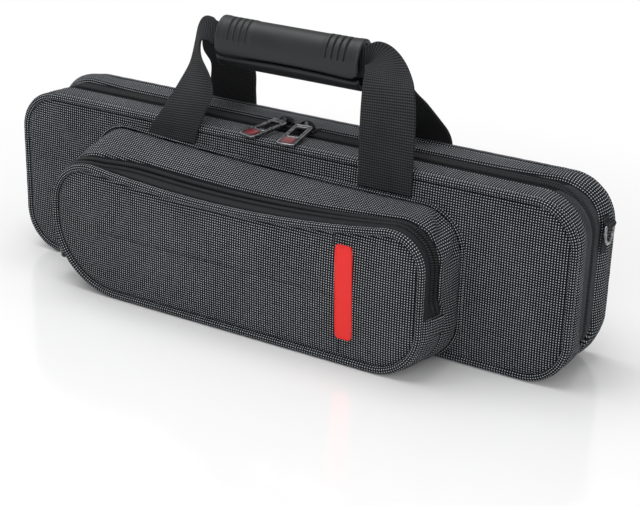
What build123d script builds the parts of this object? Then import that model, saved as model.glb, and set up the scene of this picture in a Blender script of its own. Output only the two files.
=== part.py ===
"""Soft-sided flute case: two zipped foam halves, a zipped front pocket and a wrapped carrying handle.

Frame: +X runs along the case, -Y is the pocket side, +Z is up, and the case stands on its long bottom
edge. The origin is under the middle of the whole object. Lengths are millimetres, angles degrees.
"""

from build123d import *
from math import cos, radians, sin
import os

os.makedirs("parts", exist_ok=True)

# ---- driving dimensions of the case ----
length = 420.0
height = 119.5
depth = 63.5
corner_radius = 30.0
piping_radius = 2.6
fabric = 1.2
foam = 7.0
half_gap = 0.5  # from the mid plane to each half's rim
seam_gap = 0.1  # between pieces that are sewn or glued together

# ---- main zipper ----
window_half = 10.0  # half the width of the gap in the fabric that the zip fills
zip_end_height = 22.0
tape_thickness = 1.1
teeth_width = 4.0
teeth_height = 1.0
tape_edge = 0.6  # from the mid plane to the edge of each tape
teeth_lift = 0.05  # between the tape and the teeth's coil

# ---- front pocket ----
pocket_depth = 40.25
pocket_piping_radius = 2.5
pocket_wall = 2.2
pocket_zip_end = 40.0
pocket_zip_middle = 25.0  # the zip's line, behind the main body's front face
pocket_zip_window = 6.8

# ---- webbing handle ----
strap_width = 38.0
strap_thickness = 1.8
back_anchors = (-73.5, 76.5)  # X of the middles of the back strap's sewn ends
grip_start, grip_end = -59.5, 48.0
grip_height = 169.9
grip_half_depth, grip_half_height = 11.5, 16.6
grip_wall = 2.5

# ---- zip sliders and pulls ----
slider_length, slider_width, slider_plate = 15.0, 11.4, 1.8
pin_radius, pin_rise = 1.0, 2.5
pull_length, pull_width, pull_thickness = 37.0, 12.6, 2.2

# ---- D-rings on the ends ----
ring_wire, ring_width, ring_drop = 1.2, 13.6, 12.3  # wire radius, then sizes along the wire's middle
ring_bend = 1.4
ring_height, ring_centre = 95.0, 14.0
ring_clearance = 0.08
ring_tab_width, ring_tab_low, ring_tab_high = 10.8, 77.0, 100.0

# ---- places worked out from the above ----
front_reach = depth / 2 + pocket_depth + pocket_piping_radius
back_reach = depth / 2 + 2 * seam_gap + strap_thickness
mid_y = (front_reach - back_reach) / 2
front_y = mid_y - depth / 2
back_y = mid_y + depth / 2
panel_y = front_y - pocket_depth  # middle of the pocket panel's thickness
gusset_inset = 1.0
foam_inset = gusset_inset + fabric + 2 * seam_gap
lining_inset = foam_inset + foam + seam_gap
straight_x = length / 2 - corner_radius


def facing(y):
    """A plane square to Y whose sketch axes are X and Z. Extrusions from it go to the front, -Y."""
    return Plane(origin=(0, y, 0), x_dir=(1, 0, 0), z_dir=(0, -1, 0))


def case_outline(inset):
    """The case's rounded outline, drawn in by inset all round."""
    with Locations((0, height / 2)):
        RectangleRounded(length - 2 * inset, height - 2 * inset, corner_radius - inset)


def finish(piece, name):
    """Labels a finished piece and writes it out."""
    piece.part.label = name
    export_step(piece.part, f"parts/{name}.step")


# ======== the two halves of the case ========
# Each half is described once, for the back, and mirrored through the mid plane for the front.
mid_plane = Plane(origin=(0, mid_y, 0), x_dir=(1, 0, 0), z_dir=(0, 1, 0))


def both_halves(piece, name):
    """Writes the back half's piece as back_NAME and its mirror image as front_NAME."""
    finish(piece, f"back_{name}")
    with BuildPart() as mirrored:
        mirror(piece.part, about=mid_plane)
    finish(mirrored, f"front_{name}")


panel_inset = 2 * piping_radius + seam_gap
panel_recess = 0.15  # the panel's face, behind the piping's
panel_back = back_y - panel_recess

# Flat woven panel on the half's large face, inside its piping.
with BuildPart() as panel:
    with BuildSketch(facing(panel_back)):
        case_outline(panel_inset)
    extrude(amount=fabric)
both_halves(panel, "panel")

# Fabric-covered cord sewn round the edge of the panel.
with BuildSketch(facing(back_y - piping_radius)) as piping_route:
    case_outline(piping_radius)
piping_path = piping_route.sketch.face().outer_wire()
with BuildPart() as piping:
    with BuildSketch(Plane(origin=piping_path @ 0, z_dir=piping_path % 0)):
        Circle(piping_radius)
    sweep(path=piping_path)
both_halves(piping, "piping")

gusset_back = back_y - 2 * piping_radius - seam_gap
gusset_depth = gusset_back - mid_y - half_gap

# Side fabric over the top and both ends, with a gap in it for the zipper.
with BuildPart() as zip_gusset:
    with BuildSketch(facing(gusset_back)):
        case_outline(gusset_inset)
    extrude(amount=gusset_depth)
    with BuildSketch(facing(gusset_back)):
        case_outline(gusset_inset + fabric)
    extrude(amount=gusset_depth, mode=Mode.SUBTRACT)
    with BuildSketch(facing(mid_y + window_half)):
        with Locations((0, zip_end_height + height / 2)):
            Rectangle(length, height)
    extrude(amount=window_half, mode=Mode.SUBTRACT)
    with BuildSketch(facing(gusset_back)):
        Rectangle(2 * straight_x, 2 * corner_radius)
    extrude(amount=gusset_depth, mode=Mode.SUBTRACT)
both_halves(zip_gusset, "zip_gusset")

# Bottom fabric: one strip on the real case, folding along the mid plane as its hinge.
fold_gap = 0.3
with BuildPart() as bottom_gusset:
    with BuildSketch(facing(gusset_back)):
        with Locations((0, fabric / 2)):
            Rectangle(2 * straight_x, fabric)
    extrude(amount=gusset_back - mid_y - fold_gap)
both_halves(bottom_gusset, "bottom_gusset")

# Moulded foam tray that gives the half its shape.
with BuildPart() as foam_shell:
    with BuildSketch(facing(gusset_back)):
        case_outline(foam_inset)
    extrude(amount=gusset_depth)
    with BuildSketch(facing(panel_back - fabric - seam_gap)):
        case_outline(panel_inset)
    extrude(amount=panel_back - fabric - seam_gap - gusset_back)
    with BuildSketch(facing(panel_back - fabric - foam)):
        case_outline(foam_inset + foam)
    extrude(amount=depth / 2, mode=Mode.SUBTRACT)
both_halves(foam_shell, "foam_shell")

# Woven zip tape, butted against the fold of the side fabric.
with BuildPart() as zip_tape:
    with BuildSketch(facing(mid_y + window_half - seam_gap)):
        case_outline(gusset_inset + seam_gap)
    extrude(amount=window_half - seam_gap - tape_edge)
    with BuildSketch(facing(mid_y + window_half)):
        case_outline(gusset_inset + seam_gap + tape_thickness)
    extrude(amount=window_half, mode=Mode.SUBTRACT)
    with BuildSketch(facing(mid_y + window_half)):
        Rectangle(length, 2 * (zip_end_height + seam_gap))
    extrude(amount=window_half, mode=Mode.SUBTRACT)
both_halves(zip_tape, "zip_tape")

# Coil of teeth standing on the tape's edge.
with BuildPart() as zip_teeth:
    with BuildSketch(facing(mid_y + tape_edge + teeth_width)):
        case_outline(gusset_inset - teeth_height)
    extrude(amount=teeth_width)
    with BuildSketch(facing(mid_y + window_half)):
        case_outline(gusset_inset + teeth_lift)
    extrude(amount=window_half, mode=Mode.SUBTRACT)
    with BuildSketch(facing(mid_y + window_half)):
        Rectangle(2 * length, 2 * (zip_end_height + 1))
    extrude(amount=window_half, mode=Mode.SUBTRACT)
both_halves(zip_teeth, "zip_teeth")

# ======== inside the case ========
tray_floor = panel_back - fabric - foam - 2 * seam_gap
cradle_recess, cradle_thickness = 1.5, 4.0  # face behind the mid plane, then under the channels
cradle_face = mid_y + cradle_recess
channel_floor = tray_floor - cradle_thickness
channel_corner = 8.0
notch_radius, notch_rise = 15.0, 6.0
body_channel = (0.0, 33.0, 382.0, 36.0)  # centre x, centre z, length, width
head_channel = (-74.0, 82.0, 234.0, 32.0)
foot_channel = (124.0, 82.0, 134.0, 36.0)

# Moulded cradle with one long channel for the flute's body and two for its head and foot joints.
with BuildPart() as cradle:
    with BuildSketch(facing(tray_floor)):
        case_outline(lining_inset)
    extrude(amount=tray_floor - cradle_face)
    with BuildSketch(facing(channel_floor)):
        for centre_x, centre_z, channel_length, channel_width in (body_channel, head_channel, foot_channel):
            with Locations((centre_x, centre_z)):
                RectangleRounded(channel_length, channel_width, channel_corner)
    extrude(amount=depth, mode=Mode.SUBTRACT)
    # finger notches across the rib between the rows
    with BuildSketch(facing(channel_floor - notch_rise)):
        with Locations((-74, 57), (124, 57)):
            Circle(notch_radius)
    extrude(amount=depth, mode=Mode.SUBTRACT)
finish(cradle, "instrument_cradle")

pad_recess, pad_edge = 14.0, 5.0
pad_back = mid_y - pad_recess
pad_front = front_y + panel_recess + fabric + foam + 2 * seam_gap

# Padded lining panel that presses on the flute from the lid.
with BuildPart() as lid_pad:
    with BuildSketch(facing(pad_back)):
        case_outline(lining_inset + 1)
    extrude(amount=pad_back - pad_front)
    fillet(lid_pad.edges().filter_by_position(Axis.Y, pad_back - seam_gap, pad_back + seam_gap), pad_edge)
finish(lid_pad, "lid_pad")

# ======== front pocket ========
# The pocket's outline is longer and lower at its panel than where its side fabric meets the case.
seam_shape = (-141.0, 132.5, 109.0, 102.0, 102.5)  # left, right, then top at the left, middle, right
panel_shape = (-150.3, 135.3, 97.0, 86.0, 102.0)
seam_corners = (28.0, 28.0, 28.0, 28.0)  # radii at the lower left, upper left, lower right, upper right
panel_corners = (52.0, 38.0, 34.0, 30.0)
seam_y = front_y - seam_gap


def pocket_outline(y, inset):
    """The pocket's outline at one depth, between the seam's shape and the panel's, drawn in by inset."""
    share = (seam_y - y) / (seam_y - panel_y)
    left, right, top_left, top_middle, top_right = (
        a + (b - a) * share for a, b in zip(seam_shape, panel_shape)
    )
    radii = [a + (b - a) * share for a, b in zip(seam_corners, panel_corners)]
    corners = ((left, 0), (left, top_left), (right, 0), (right, top_right))
    with BuildSketch(facing(y)) as outline:
        with BuildLine():
            Polyline((left, top_left), (left, 0), (right, 0), (right, top_right))
            ThreePointArc((right, top_right), ((left + right) / 2, top_middle), (left, top_left))
        make_face()
        for corner, radius in zip(corners, radii):
            fillet(outline.vertices().sort_by_distance(corner)[0], radius)
        if inset:
            offset(amount=-inset, mode=Mode.REPLACE)
    return outline.sketch.face()


def pocket_ring(back, front, outer, inner):
    """A wall following the pocket's outline from one depth to another, between two insets."""
    loft(sections=[pocket_outline(back, outer), pocket_outline(front, outer)])
    loft(sections=[pocket_outline(back, inner), pocket_outline(front, inner)], mode=Mode.SUBTRACT)


pocket_zip_y = front_y - pocket_zip_middle
pocket_tape_back = pocket_zip_y + pocket_zip_window
pocket_ring_front = panel_y + pocket_piping_radius
pocket_teeth = 3.0
pocket_end_gap = 0.3  # from the ends of the zipper to the fabric below them

# Side fabric of the pocket, from its seam on the case to the pocket's zipper.
with BuildPart() as pocket_gusset:
    pocket_ring(seam_y, pocket_tape_back + seam_gap, 0, pocket_wall)
finish(pocket_gusset, "pocket_gusset")

# Fabric under the pocket and up its sides, where there is no zipper, as far as the panel.
with BuildPart() as pocket_foot:
    pocket_ring(pocket_tape_back, pocket_ring_front, 0, pocket_wall)
    with BuildSketch(facing(front_y)):
        with Locations((0, pocket_zip_end - pocket_end_gap + height / 2)):
            Rectangle(length, height)
    extrude(amount=2 * pocket_depth, mode=Mode.SUBTRACT)
finish(pocket_foot, "pocket_foot_gusset")


def zip_part(back, front, outer, inner, name):
    """One side of the pocket's zipper: a ring between two depths, kept above the zip's ends."""
    with BuildPart() as ring:
        pocket_ring(back, front, outer, inner)
        with BuildSketch(facing(front_y)):
            Rectangle(length, 2 * (pocket_zip_end + pocket_end_gap))
        extrude(amount=2 * pocket_depth, mode=Mode.SUBTRACT)
    finish(ring, name)


pocket_tape_edge, pocket_teeth_height = 0.3, 0.7
tape_outer, tape_inner, teeth_inner = 0.3, 1.4, 0.25  # insets from the pocket's outline
back_edge, front_edge = pocket_zip_y + pocket_tape_edge, pocket_zip_y - pocket_tape_edge
teeth_back, teeth_front = back_edge + pocket_teeth, front_edge - pocket_teeth
tape_front = pocket_ring_front + seam_gap
zip_part(pocket_tape_back, back_edge, tape_outer, tape_inner, "pocket_back_zip_tape")
zip_part(teeth_back, back_edge, -pocket_teeth_height, teeth_inner, "pocket_back_zip_teeth")
zip_part(front_edge, tape_front, tape_outer, tape_inner, "pocket_front_zip_tape")
zip_part(front_edge, teeth_front, -pocket_teeth_height, teeth_inner, "pocket_front_zip_teeth")

# Cord sewn into the seam between the pocket's side fabric and the case, open along the bottom.
welt_radius, welt_gap, welt_foot = 1.2, 0.5, 0.3
welt_path = pocket_outline(seam_y - welt_radius, -welt_radius - welt_gap).outer_wire()
with BuildPart() as welt:
    with BuildSketch(Plane(origin=welt_path @ 0, z_dir=welt_path % 0)):
        Circle(welt_radius)
    sweep(path=welt_path)
    with BuildSketch(facing(mid_y)):
        with Locations((0, welt_foot - height / 2)):
            Rectangle(length, height)
    extrude(amount=depth, mode=Mode.SUBTRACT)
finish(welt, "pocket_seam_welt")

# Folded fabric tabs that finish the two ends of the pocket's zipper.
tab_low, tab_high = 29.0, 39.5
tab_half, tab_outer = 8.0, -1.5
with BuildPart() as end_tabs:
    pocket_ring(pocket_zip_y + tab_half, pocket_zip_y - tab_half, tab_outer, -seam_gap)
    with BuildSketch(facing(front_y)):
        with Locations((0, (tab_low + tab_high) / 2)):
            Rectangle(length, tab_high - tab_low)
    extrude(amount=2 * pocket_depth, mode=Mode.INTERSECT)
finish(end_tabs, "pocket_zip_end_tabs")

# Woven panel that closes the pocket and swings down with its zip tape.
panel_thickness = 2.4
pocket_panel_inset = 2 * pocket_piping_radius + 0.05
with BuildPart() as pocket_panel:
    extrude(pocket_outline(panel_y, pocket_panel_inset), amount=panel_thickness / 2, both=True)
finish(pocket_panel, "pocket_panel")

pocket_piping_path = pocket_outline(panel_y, pocket_piping_radius).outer_wire()
with BuildPart() as pocket_piping:
    with BuildSketch(Plane(origin=pocket_piping_path @ 0, z_dir=pocket_piping_path % 0)):
        Circle(pocket_piping_radius)
    sweep(path=pocket_piping_path)
finish(pocket_piping, "pocket_piping")

# Blank woven tag sewn upright near the panel's right end.
tag_x, tag_z, tag_width, tag_height = 77.5, 49.5, 12.0, 62.0
tag_corner, tag_thickness = 2.0, 0.6
with BuildPart() as tag:
    with BuildSketch(facing(panel_y - panel_thickness / 2)):
        with Locations((tag_x, tag_z)):
            RectangleRounded(tag_width, tag_height, tag_corner)
    extrude(amount=tag_thickness)
finish(tag, "side_tag")

# ======== sliders and pulls ========
plate_gap = 0.3  # from the tops of the teeth to the slider's plate
pin_height = plate_gap + slider_plate + pin_rise
post_thickness, post_width, post_middle = 1.6, 2.8, 3.6
post_cap = 0.4  # above the pin
plate_corner, flange_shortfall = 2.5, 5.0


def zip_slider(name, way, pin_way, width, teeth_half, flange_sides, flange_depth):
    """A slider and its pin.

    way is a plane on the tops of the teeth, whose X runs along the zip and whose Z points outwards.
    pin_way is the same plane turned until its X runs along the pin that the pull hangs on.
    """
    flange = width / 2 - teeth_half - seam_gap
    pin_end = pin_way.from_local_coords((-post_middle, 0, pin_height))
    with BuildPart() as slider:
        with BuildSketch(way.offset(plate_gap)):
            RectangleRounded(slider_length, width, plate_corner)
        extrude(amount=slider_plate)
        with BuildSketch(way.offset(-flange_depth)):
            with Locations([(0, side * (width - flange) / 2) for side in flange_sides]):
                Rectangle(slider_length - flange_shortfall, flange)
        extrude(amount=flange_depth + plate_gap)
        with BuildSketch(pin_way.offset(plate_gap + slider_plate)):
            with Locations((post_middle, 0), (-post_middle, 0)):
                Rectangle(post_thickness, post_width)
        extrude(amount=pin_rise + pin_radius + post_cap)
        with BuildSketch(Plane(pin_end, z_dir=pin_way.x_dir)):
            Circle(pin_radius)
        extrude(amount=2 * post_middle)
    finish(slider, name)


eye_radius, eye_bore, eye_width = 2.1, 1.45, 4.4
shoulder, neck_start, pull_corner = 5.0, 2.0, 2.0
window_start, window_length, window_border, window_corner = 8.0, 16.5, 2.2, 1.0
inset_middle, inset_length, inset_width, inset_depth = 30.9, 7.8, 8.4, 0.6
inset_gap, inset_rise = 0.05, 0.25


def zip_pull(name, lie):
    """A pull with its coloured inset, running along lie's -Y from the eye round lie's X axis."""
    eye_end = lie.from_local_coords((-eye_width / 2, 0, 0))
    neck_length = shoulder + 1 - neck_start
    window_width = pull_width - 2 * window_border
    with BuildPart() as pull:
        with BuildSketch(lie.offset(-pull_thickness / 2)):
            with Locations((0, -(shoulder + pull_length) / 2)):
                RectangleRounded(pull_width, pull_length - shoulder, pull_corner)
            with Locations((0, -neck_start - neck_length / 2)):
                Rectangle(eye_width, neck_length)
            with Locations((0, -window_start - window_length / 2)):
                RectangleRounded(window_width, window_length, window_corner, mode=Mode.SUBTRACT)
        extrude(amount=pull_thickness)
        with BuildSketch(lie.offset(pull_thickness / 2 - inset_depth)):
            with Locations((0, -inset_middle)):
                Rectangle(inset_width, inset_length)
        extrude(amount=pull_thickness, mode=Mode.SUBTRACT)
        with BuildSketch(Plane(eye_end, z_dir=lie.x_dir)):
            Circle(eye_radius)
        extrude(amount=eye_width)
        with BuildSketch(Plane(eye_end, z_dir=lie.x_dir)):
            Circle(eye_bore)
        extrude(amount=eye_width, mode=Mode.SUBTRACT)
    finish(pull, name)
    with BuildPart() as inset:
        with BuildSketch(lie.offset(pull_thickness / 2 - inset_depth + inset_gap)):
            with Locations((0, -inset_middle)):
                Rectangle(inset_width - 2 * inset_gap, inset_length - 2 * inset_gap)
        extrude(amount=inset_depth - inset_gap + inset_rise)
    finish(inset, f"{name}_inset")


pull_slope = 5.5  # down from level, so that the pull clears the piping
for name, slider_x, turn in (("left", -9.5, -9.0), ("right", 6.5, 8.0)):
    on_top = Plane(origin=(slider_x, mid_y, height), x_dir=(1, 0, 0), z_dir=(0, 0, 1))
    zip_slider(f"{name}_slider", on_top, on_top, slider_width, tape_edge + teeth_width, (-1, 1), 1.0)
    across = Vector(cos(radians(turn)), sin(radians(turn)), 0)
    along = Vector(-sin(radians(turn)), cos(radians(turn)), 0)
    up = Vector(0, 0, cos(radians(pull_slope))) - along * sin(radians(pull_slope))
    zip_pull(f"{name}_pull", Plane((slider_x, mid_y, height + pin_height), x_dir=across, z_dir=up))

# The pocket's slider stays low on the left side, which leans out towards the front.
pocket_slider_z, pocket_slider_width = 50.0, 9.0
side_run = Vector(panel_shape[0] - seam_shape[0], panel_y - seam_y, 0)
side_point = Vector(seam_shape[0], seam_y, 0) + side_run * ((seam_y - pocket_zip_y) / (seam_y - panel_y))
side_along = side_run.normalized()
side_out = Vector(side_along.Y, -side_along.X, 0)
side_origin = side_point + side_out * pocket_teeth_height + Vector(0, 0, pocket_slider_z)
on_side = Plane(side_origin, x_dir=(0, 0, 1), z_dir=side_out)
across_side = Plane(side_origin, x_dir=side_along, z_dir=side_out)
pocket_teeth_half = pocket_tape_edge + pocket_teeth
zip_slider("pocket_slider", on_side, across_side, pocket_slider_width, pocket_teeth_half, (1,), 0.8)
zip_pull("pocket_pull", across_side.offset(pin_height))

# ======== handle ========
# A strap is a band through stations: centre (y from the mid plane), direction across the band, width.
front_strap_route = (
    ((-78.8, -33.1, 109.3), (-1, 0, 0), 37.5),
    ((-73.9, -33.1, 119.2), (-1, 0, -0.04), 35.8),
    ((-69.2, -30.2, 129.5), (-1, 0.04, -0.09), 33.7),
    ((-65.8, -24.5, 140), (-0.97, 0.2, -0.11), 35.4),
    ((-69.6, -16, 148.9), (-0.87, 0.46, -0.2), 34.8),
    ((-74, -9.5, 158.6), (-0.73, 0.65, -0.22), 29.4),
    ((-76.6, -4.2, 166), (-0.68, 0.71, -0.19), 26.1),
    ((-76.9, -1.5, 171.2), (-0.61, 0.73, 0.3), 17.7),
    ((-71.8, -1.8, 174.3), (-0.49, 0.49, 0.72), 17.4),
    ((-65.5, -2.8, 173.5), (-0.22, 0.22, 0.95), 18.4),
    ((-60.7, -3.5, 171.5), (0, 0, 1), 19.6),
    ((-30, -3.5, 171.5), (0, 0, 1), 19.6),
    ((20, -3.5, 171.5), (0, 0, 1), 19.6),
    ((49.2, -3.5, 171.5), (0, 0, 1), 19.6),
    ((55.2, -4, 175), (0.32, 0.1, 0.94), 20.6),
    ((64, -8.8, 177), (0.89, 0.2, 0.4), 22.4),
    ((72.8, -16.8, 173.8), (1, 0.08, 0.02), 30.6),
    ((78.2, -26, 166.5), (1, 0, 0.08), 35.6),
    ((81.2, -31, 151), (1, 0, 0.05), 37.6),
    ((82.2, -33.1, 128), (1, 0, 0), 38),
    ((82.2, -33.1, 105), (1, 0, 0), 38),
)
back_strap_route = (
    ((-73.5, 32.85, 104.3), (-1, 0, 0), 38),
    ((-73.5, 32.85, 119), (-1, 0, 0), 38),
    ((-72.2, 30.3, 128), (-1, 0, 0), 37.5),
    ((-69, 24, 145.5), (-1, 0, -0.08), 37.1),
    ((-68.5, 15.5, 157.5), (-1, -0.03, 0.03), 29),
    ((-69.6, 8.2, 164.5), (-0.85, -0.02, 0.52), 20),
    ((-65.5, 5, 169.8), (-0.39, 0.03, 0.92), 17.9),
    ((-60.7, 3.5, 171.5), (0, 0, 1), 19.6),
    ((-30, 3.5, 171.5), (0, 0, 1), 19.6),
    ((20, 3.5, 171.5), (0, 0, 1), 19.6),
    ((49.2, 3.5, 171.5), (0, 0, 1), 19.6),
    ((57.2, 7.2, 167.5), (0.77, -0.03, 0.63), 17.4),
    ((63.2, 12.2, 157.8), (0.98, -0.02, -0.17), 25.9),
    ((67.5, 18.5, 148.8), (0.99, -0.03, -0.14), 32.3),
    ((72.2, 25, 136.8), (0.99, 0, -0.12), 36.8),
    ((75, 30.3, 127.2), (1, 0, -0.04), 37),
    ((76.5, 32.85, 119), (1, 0, 0), 38),
    ((76.5, 32.85, 104.3), (1, 0, 0), 38),
)


def strap_sections(route):
    """Rectangles of webbing across the route, each turned until its face follows the way it runs there."""
    centres = [Vector(x, y + mid_y, z) for (x, y, z), _, _ in route]
    sections = []
    for n, (_, across_band, width) in enumerate(route):
        across = Vector(*across_band).normalized()
        along = centres[min(n + 1, len(route) - 1)] - centres[max(n - 1, 0)]
        upright = along - across * along.dot(across)
        with BuildSketch(Plane(centres[n], x_dir=across, z_dir=upright)) as section:
            Rectangle(width, strap_thickness)
        sections.append(section.sketch.face())
    return sections


with BuildPart() as front_strap:
    loft(sections=strap_sections(front_strap_route), ruled=True)
finish(front_strap, "front_strap")

with BuildPart() as back_strap:
    loft(sections=strap_sections(back_strap_route), ruled=True)
finish(back_strap, "back_strap")

# Sewn ends of the back strap, flat on the back panel below where the strap starts to swing.
sewn_low, sewn_high, sewn_lift = 72.0, 104.0, 0.05
sewn_middle = (sewn_low + sewn_high) / 2
with BuildPart() as strap_ends:
    with BuildSketch(facing(mid_y + back_reach)):
        with Locations([(anchor, sewn_middle) for anchor in back_anchors]):
            Rectangle(strap_width, sewn_high - sewn_low)
    extrude(amount=mid_y + back_reach - panel_back - sewn_lift)
finish(strap_ends, "back_strap_ends")

# Moulded rubber grip: a saddle under both straps and a flap closed over their top and front.
grip_end_plane = Plane(origin=(grip_start, mid_y, grip_height), x_dir=(0, 1, 0), z_dir=(1, 0, 0))
grip_length = grip_end - grip_start
saddle_from, saddle_to = 212, 406
flap_from, flap_to = 50, 208


def grip_section(plane, wall, start, stop):
    """A stretch of the grip's oval wall between two angles, measured up from the back."""
    reach = 4 * grip_half_height
    corners = [radians(start + (stop - start) * n / 6) for n in range(7)]
    with BuildSketch(plane) as section:
        Ellipse(grip_half_depth, grip_half_height)
        Ellipse(grip_half_depth - wall, grip_half_height - wall, mode=Mode.SUBTRACT)
        with BuildLine():
            Polyline([(0, 0)] + [(reach * cos(a), reach * sin(a)) for a in corners], close=True)
        make_face(mode=Mode.INTERSECT)
    return section.sketch


with BuildPart() as grip_saddle:
    extrude(grip_section(grip_end_plane, grip_wall, saddle_from, saddle_to), amount=grip_length)
finish(grip_saddle, "grip_saddle")

groove_depth, groove_width, groove_pitch, first_groove = 1.0, 1.1, 4.5, 9.5
groove_from, groove_to = 65, 170
groove_runs = [first_groove + n * groove_pitch for n in range(4)]
groove_runs += [grip_length - groove_width - run for run in groove_runs]
with BuildPart() as grip_flap:
    extrude(grip_section(grip_end_plane, grip_wall, flap_from, flap_to), amount=grip_length)
    for run in groove_runs:
        groove_plane = grip_end_plane.offset(run)
        groove = grip_section(groove_plane, groove_depth, groove_from, groove_to)
        extrude(groove, amount=groove_width, mode=Mode.SUBTRACT)
finish(grip_flap, "grip_flap")

# ======== D-rings on the two ends ========
ring_y = mid_y + ring_centre
tab_base = length / 2 - gusset_inset + 0.05
tab_thickness = 1.4
ring_bore = ring_wire + ring_clearance
ring_x = tab_base + tab_thickness + ring_bore + seam_gap
tab_middle = (ring_tab_low + ring_tab_high) / 2
for name, side in (("left", -1), ("right", 1)):
    # The wire's straight bar lies in the tab's loop, and the bow hangs below it.
    ring_half = ring_width / 2
    bow_start = ring_half - ring_drop
    hanging = Plane(origin=(side * ring_x, ring_y, ring_height), x_dir=(0, 1, 0), z_dir=(1, 0, 0))
    with BuildSketch(hanging) as bow:
        with BuildLine():
            Polyline((-ring_half, bow_start), (-ring_half, 0), (ring_half, 0), (ring_half, bow_start))
            ThreePointArc((ring_half, bow_start), (0, -ring_drop), (-ring_half, bow_start))
        make_face()
        fillet(bow.vertices().group_by(Axis.Y)[-1], ring_bend)
    ring_path = bow.sketch.face().outer_wire()
    with BuildPart() as ring:
        with BuildSketch(Plane(origin=ring_path @ 0, z_dir=ring_path % 0)):
            Circle(ring_wire)
        sweep(path=ring_path)
    finish(ring, f"{name}_ring")

    tab_side = Plane(origin=(0, ring_y - ring_tab_width / 2, 0), x_dir=(-1, 0, 0), z_dir=(0, 1, 0))
    with BuildPart() as ring_tab:
        with BuildSketch(tab_side):
            with Locations((-side * (tab_base + tab_thickness / 2), tab_middle)):
                Rectangle(tab_thickness, ring_tab_high - ring_tab_low)
            with Locations((-side * ring_x, ring_height)):
                Circle(ring_bore + tab_thickness)
        extrude(amount=ring_tab_width)
        with BuildSketch(tab_side):
            with Locations((-side * ring_x, ring_height)):
                Circle(ring_bore)
        extrude(amount=ring_tab_width, mode=Mode.SUBTRACT)
        inside = Plane(origin=(side * tab_base, 0, 0), z_dir=(side, 0, 0))
        split(bisect_by=inside, keep=Keep.TOP)
    finish(ring_tab, f"{name}_ring_tab")
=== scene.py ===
"""A soft-sided flute case, dressed over its solid model.

Sizes in the sections are millimetres, and meshes are put in metres as they are made. +X runs along the
case, -Y is the pocket's side, +Z is up, and depths are counted from the plane where the halves meet.
"""

import bmesh
import bpy
import numpy as np
from mathutils import Matrix, Vector


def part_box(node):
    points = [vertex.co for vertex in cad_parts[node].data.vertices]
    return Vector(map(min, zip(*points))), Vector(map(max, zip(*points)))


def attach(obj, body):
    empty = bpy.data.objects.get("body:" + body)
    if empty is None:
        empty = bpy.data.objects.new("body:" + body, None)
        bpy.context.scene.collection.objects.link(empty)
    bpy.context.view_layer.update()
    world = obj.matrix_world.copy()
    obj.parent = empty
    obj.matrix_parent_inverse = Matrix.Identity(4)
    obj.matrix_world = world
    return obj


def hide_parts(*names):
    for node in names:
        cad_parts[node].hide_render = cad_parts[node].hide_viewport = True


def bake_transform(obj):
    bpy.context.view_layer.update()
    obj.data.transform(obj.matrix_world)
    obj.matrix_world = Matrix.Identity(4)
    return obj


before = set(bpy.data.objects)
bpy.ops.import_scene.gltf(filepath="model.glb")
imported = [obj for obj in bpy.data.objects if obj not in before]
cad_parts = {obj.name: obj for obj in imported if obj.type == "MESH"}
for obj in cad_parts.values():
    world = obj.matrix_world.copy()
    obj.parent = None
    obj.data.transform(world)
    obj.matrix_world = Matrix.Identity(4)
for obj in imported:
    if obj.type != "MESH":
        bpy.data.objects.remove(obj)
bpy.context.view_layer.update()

MM = 0.001

# ---------------------------------------------------------------------------------------------------
# Camera. A short telephoto view from the right, above the case, a little over a metre away, held
# with a slight roll. The lens is given for a 36 mm wide sensor.
yaw, pitch, roll = np.radians((30.139, 22.723, 1.576))
camera_place = np.array((487.9, -788.3, 427.4)) * MM
lens = 85.06

ahead = np.array((-np.sin(yaw) * np.cos(pitch), np.cos(yaw) * np.cos(pitch), -np.sin(pitch)))
level = np.array((np.cos(yaw), np.sin(yaw), 0.0))
upright = np.cross(level, ahead)
right = level * np.cos(roll) + upright * np.sin(roll)
up = upright * np.cos(roll) - level * np.sin(roll)
camera = bpy.data.objects.new("camera", bpy.data.cameras.new("camera"))
camera.data.lens, camera.data.sensor_width = lens, 36.0
camera_axes = [[right[n], up[n], -ahead[n], camera_place[n]] for n in range(3)]
camera.matrix_world = Matrix(camera_axes + [[0, 0, 0, 1]])
bpy.context.scene.collection.objects.link(camera)
bpy.context.scene.camera = camera
bpy.context.scene.view_settings.view_transform = "Standard"


# ---------------------------------------------------------------------------------------------------
# Studio. A white sweep of paper lit by large soft boxes overhead and at the sides, so that shadows
# are soft and the paper behind the case burns out to white.
class Signal:
    """A value that varies over a surface. Arithmetic on it adds Math nodes to its finish."""

    def __init__(self, finish, socket):
        self.finish, self.socket = finish, socket

    def math(self, operation, *values, clamp=False):
        return self.finish.node("ShaderNodeMath", {"operation": operation, "use_clamp": clamp}, values)

    def __add__(self, other):
        return self.math("ADD", self, other)

    def __sub__(self, other):
        return self.math("SUBTRACT", self, other)

    def __rsub__(self, other):
        return self.math("SUBTRACT", other, self)

    def __mul__(self, other):
        return self.math("MULTIPLY", self, other)

    __radd__ = __add__
    __rmul__ = __mul__

    def wave(self):
        """0 at whole numbers and 1 halfway between them."""
        return self.math("PINGPONG", self, 0.5) * 2

    def nearest(self):
        """The nearest whole number."""
        return self.math("FLOOR", self + 0.5)

    def step(self, low, high):
        """0 below low, 1 above high and a smooth rise between, or a fall where low is the larger."""
        inputs = {0: self, 1: low, 2: high, 3: 0.0, 4: 1.0}
        return self.finish.node("ShaderNodeMapRange", {"interpolation_type": "SMOOTHSTEP"}, inputs)


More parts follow.
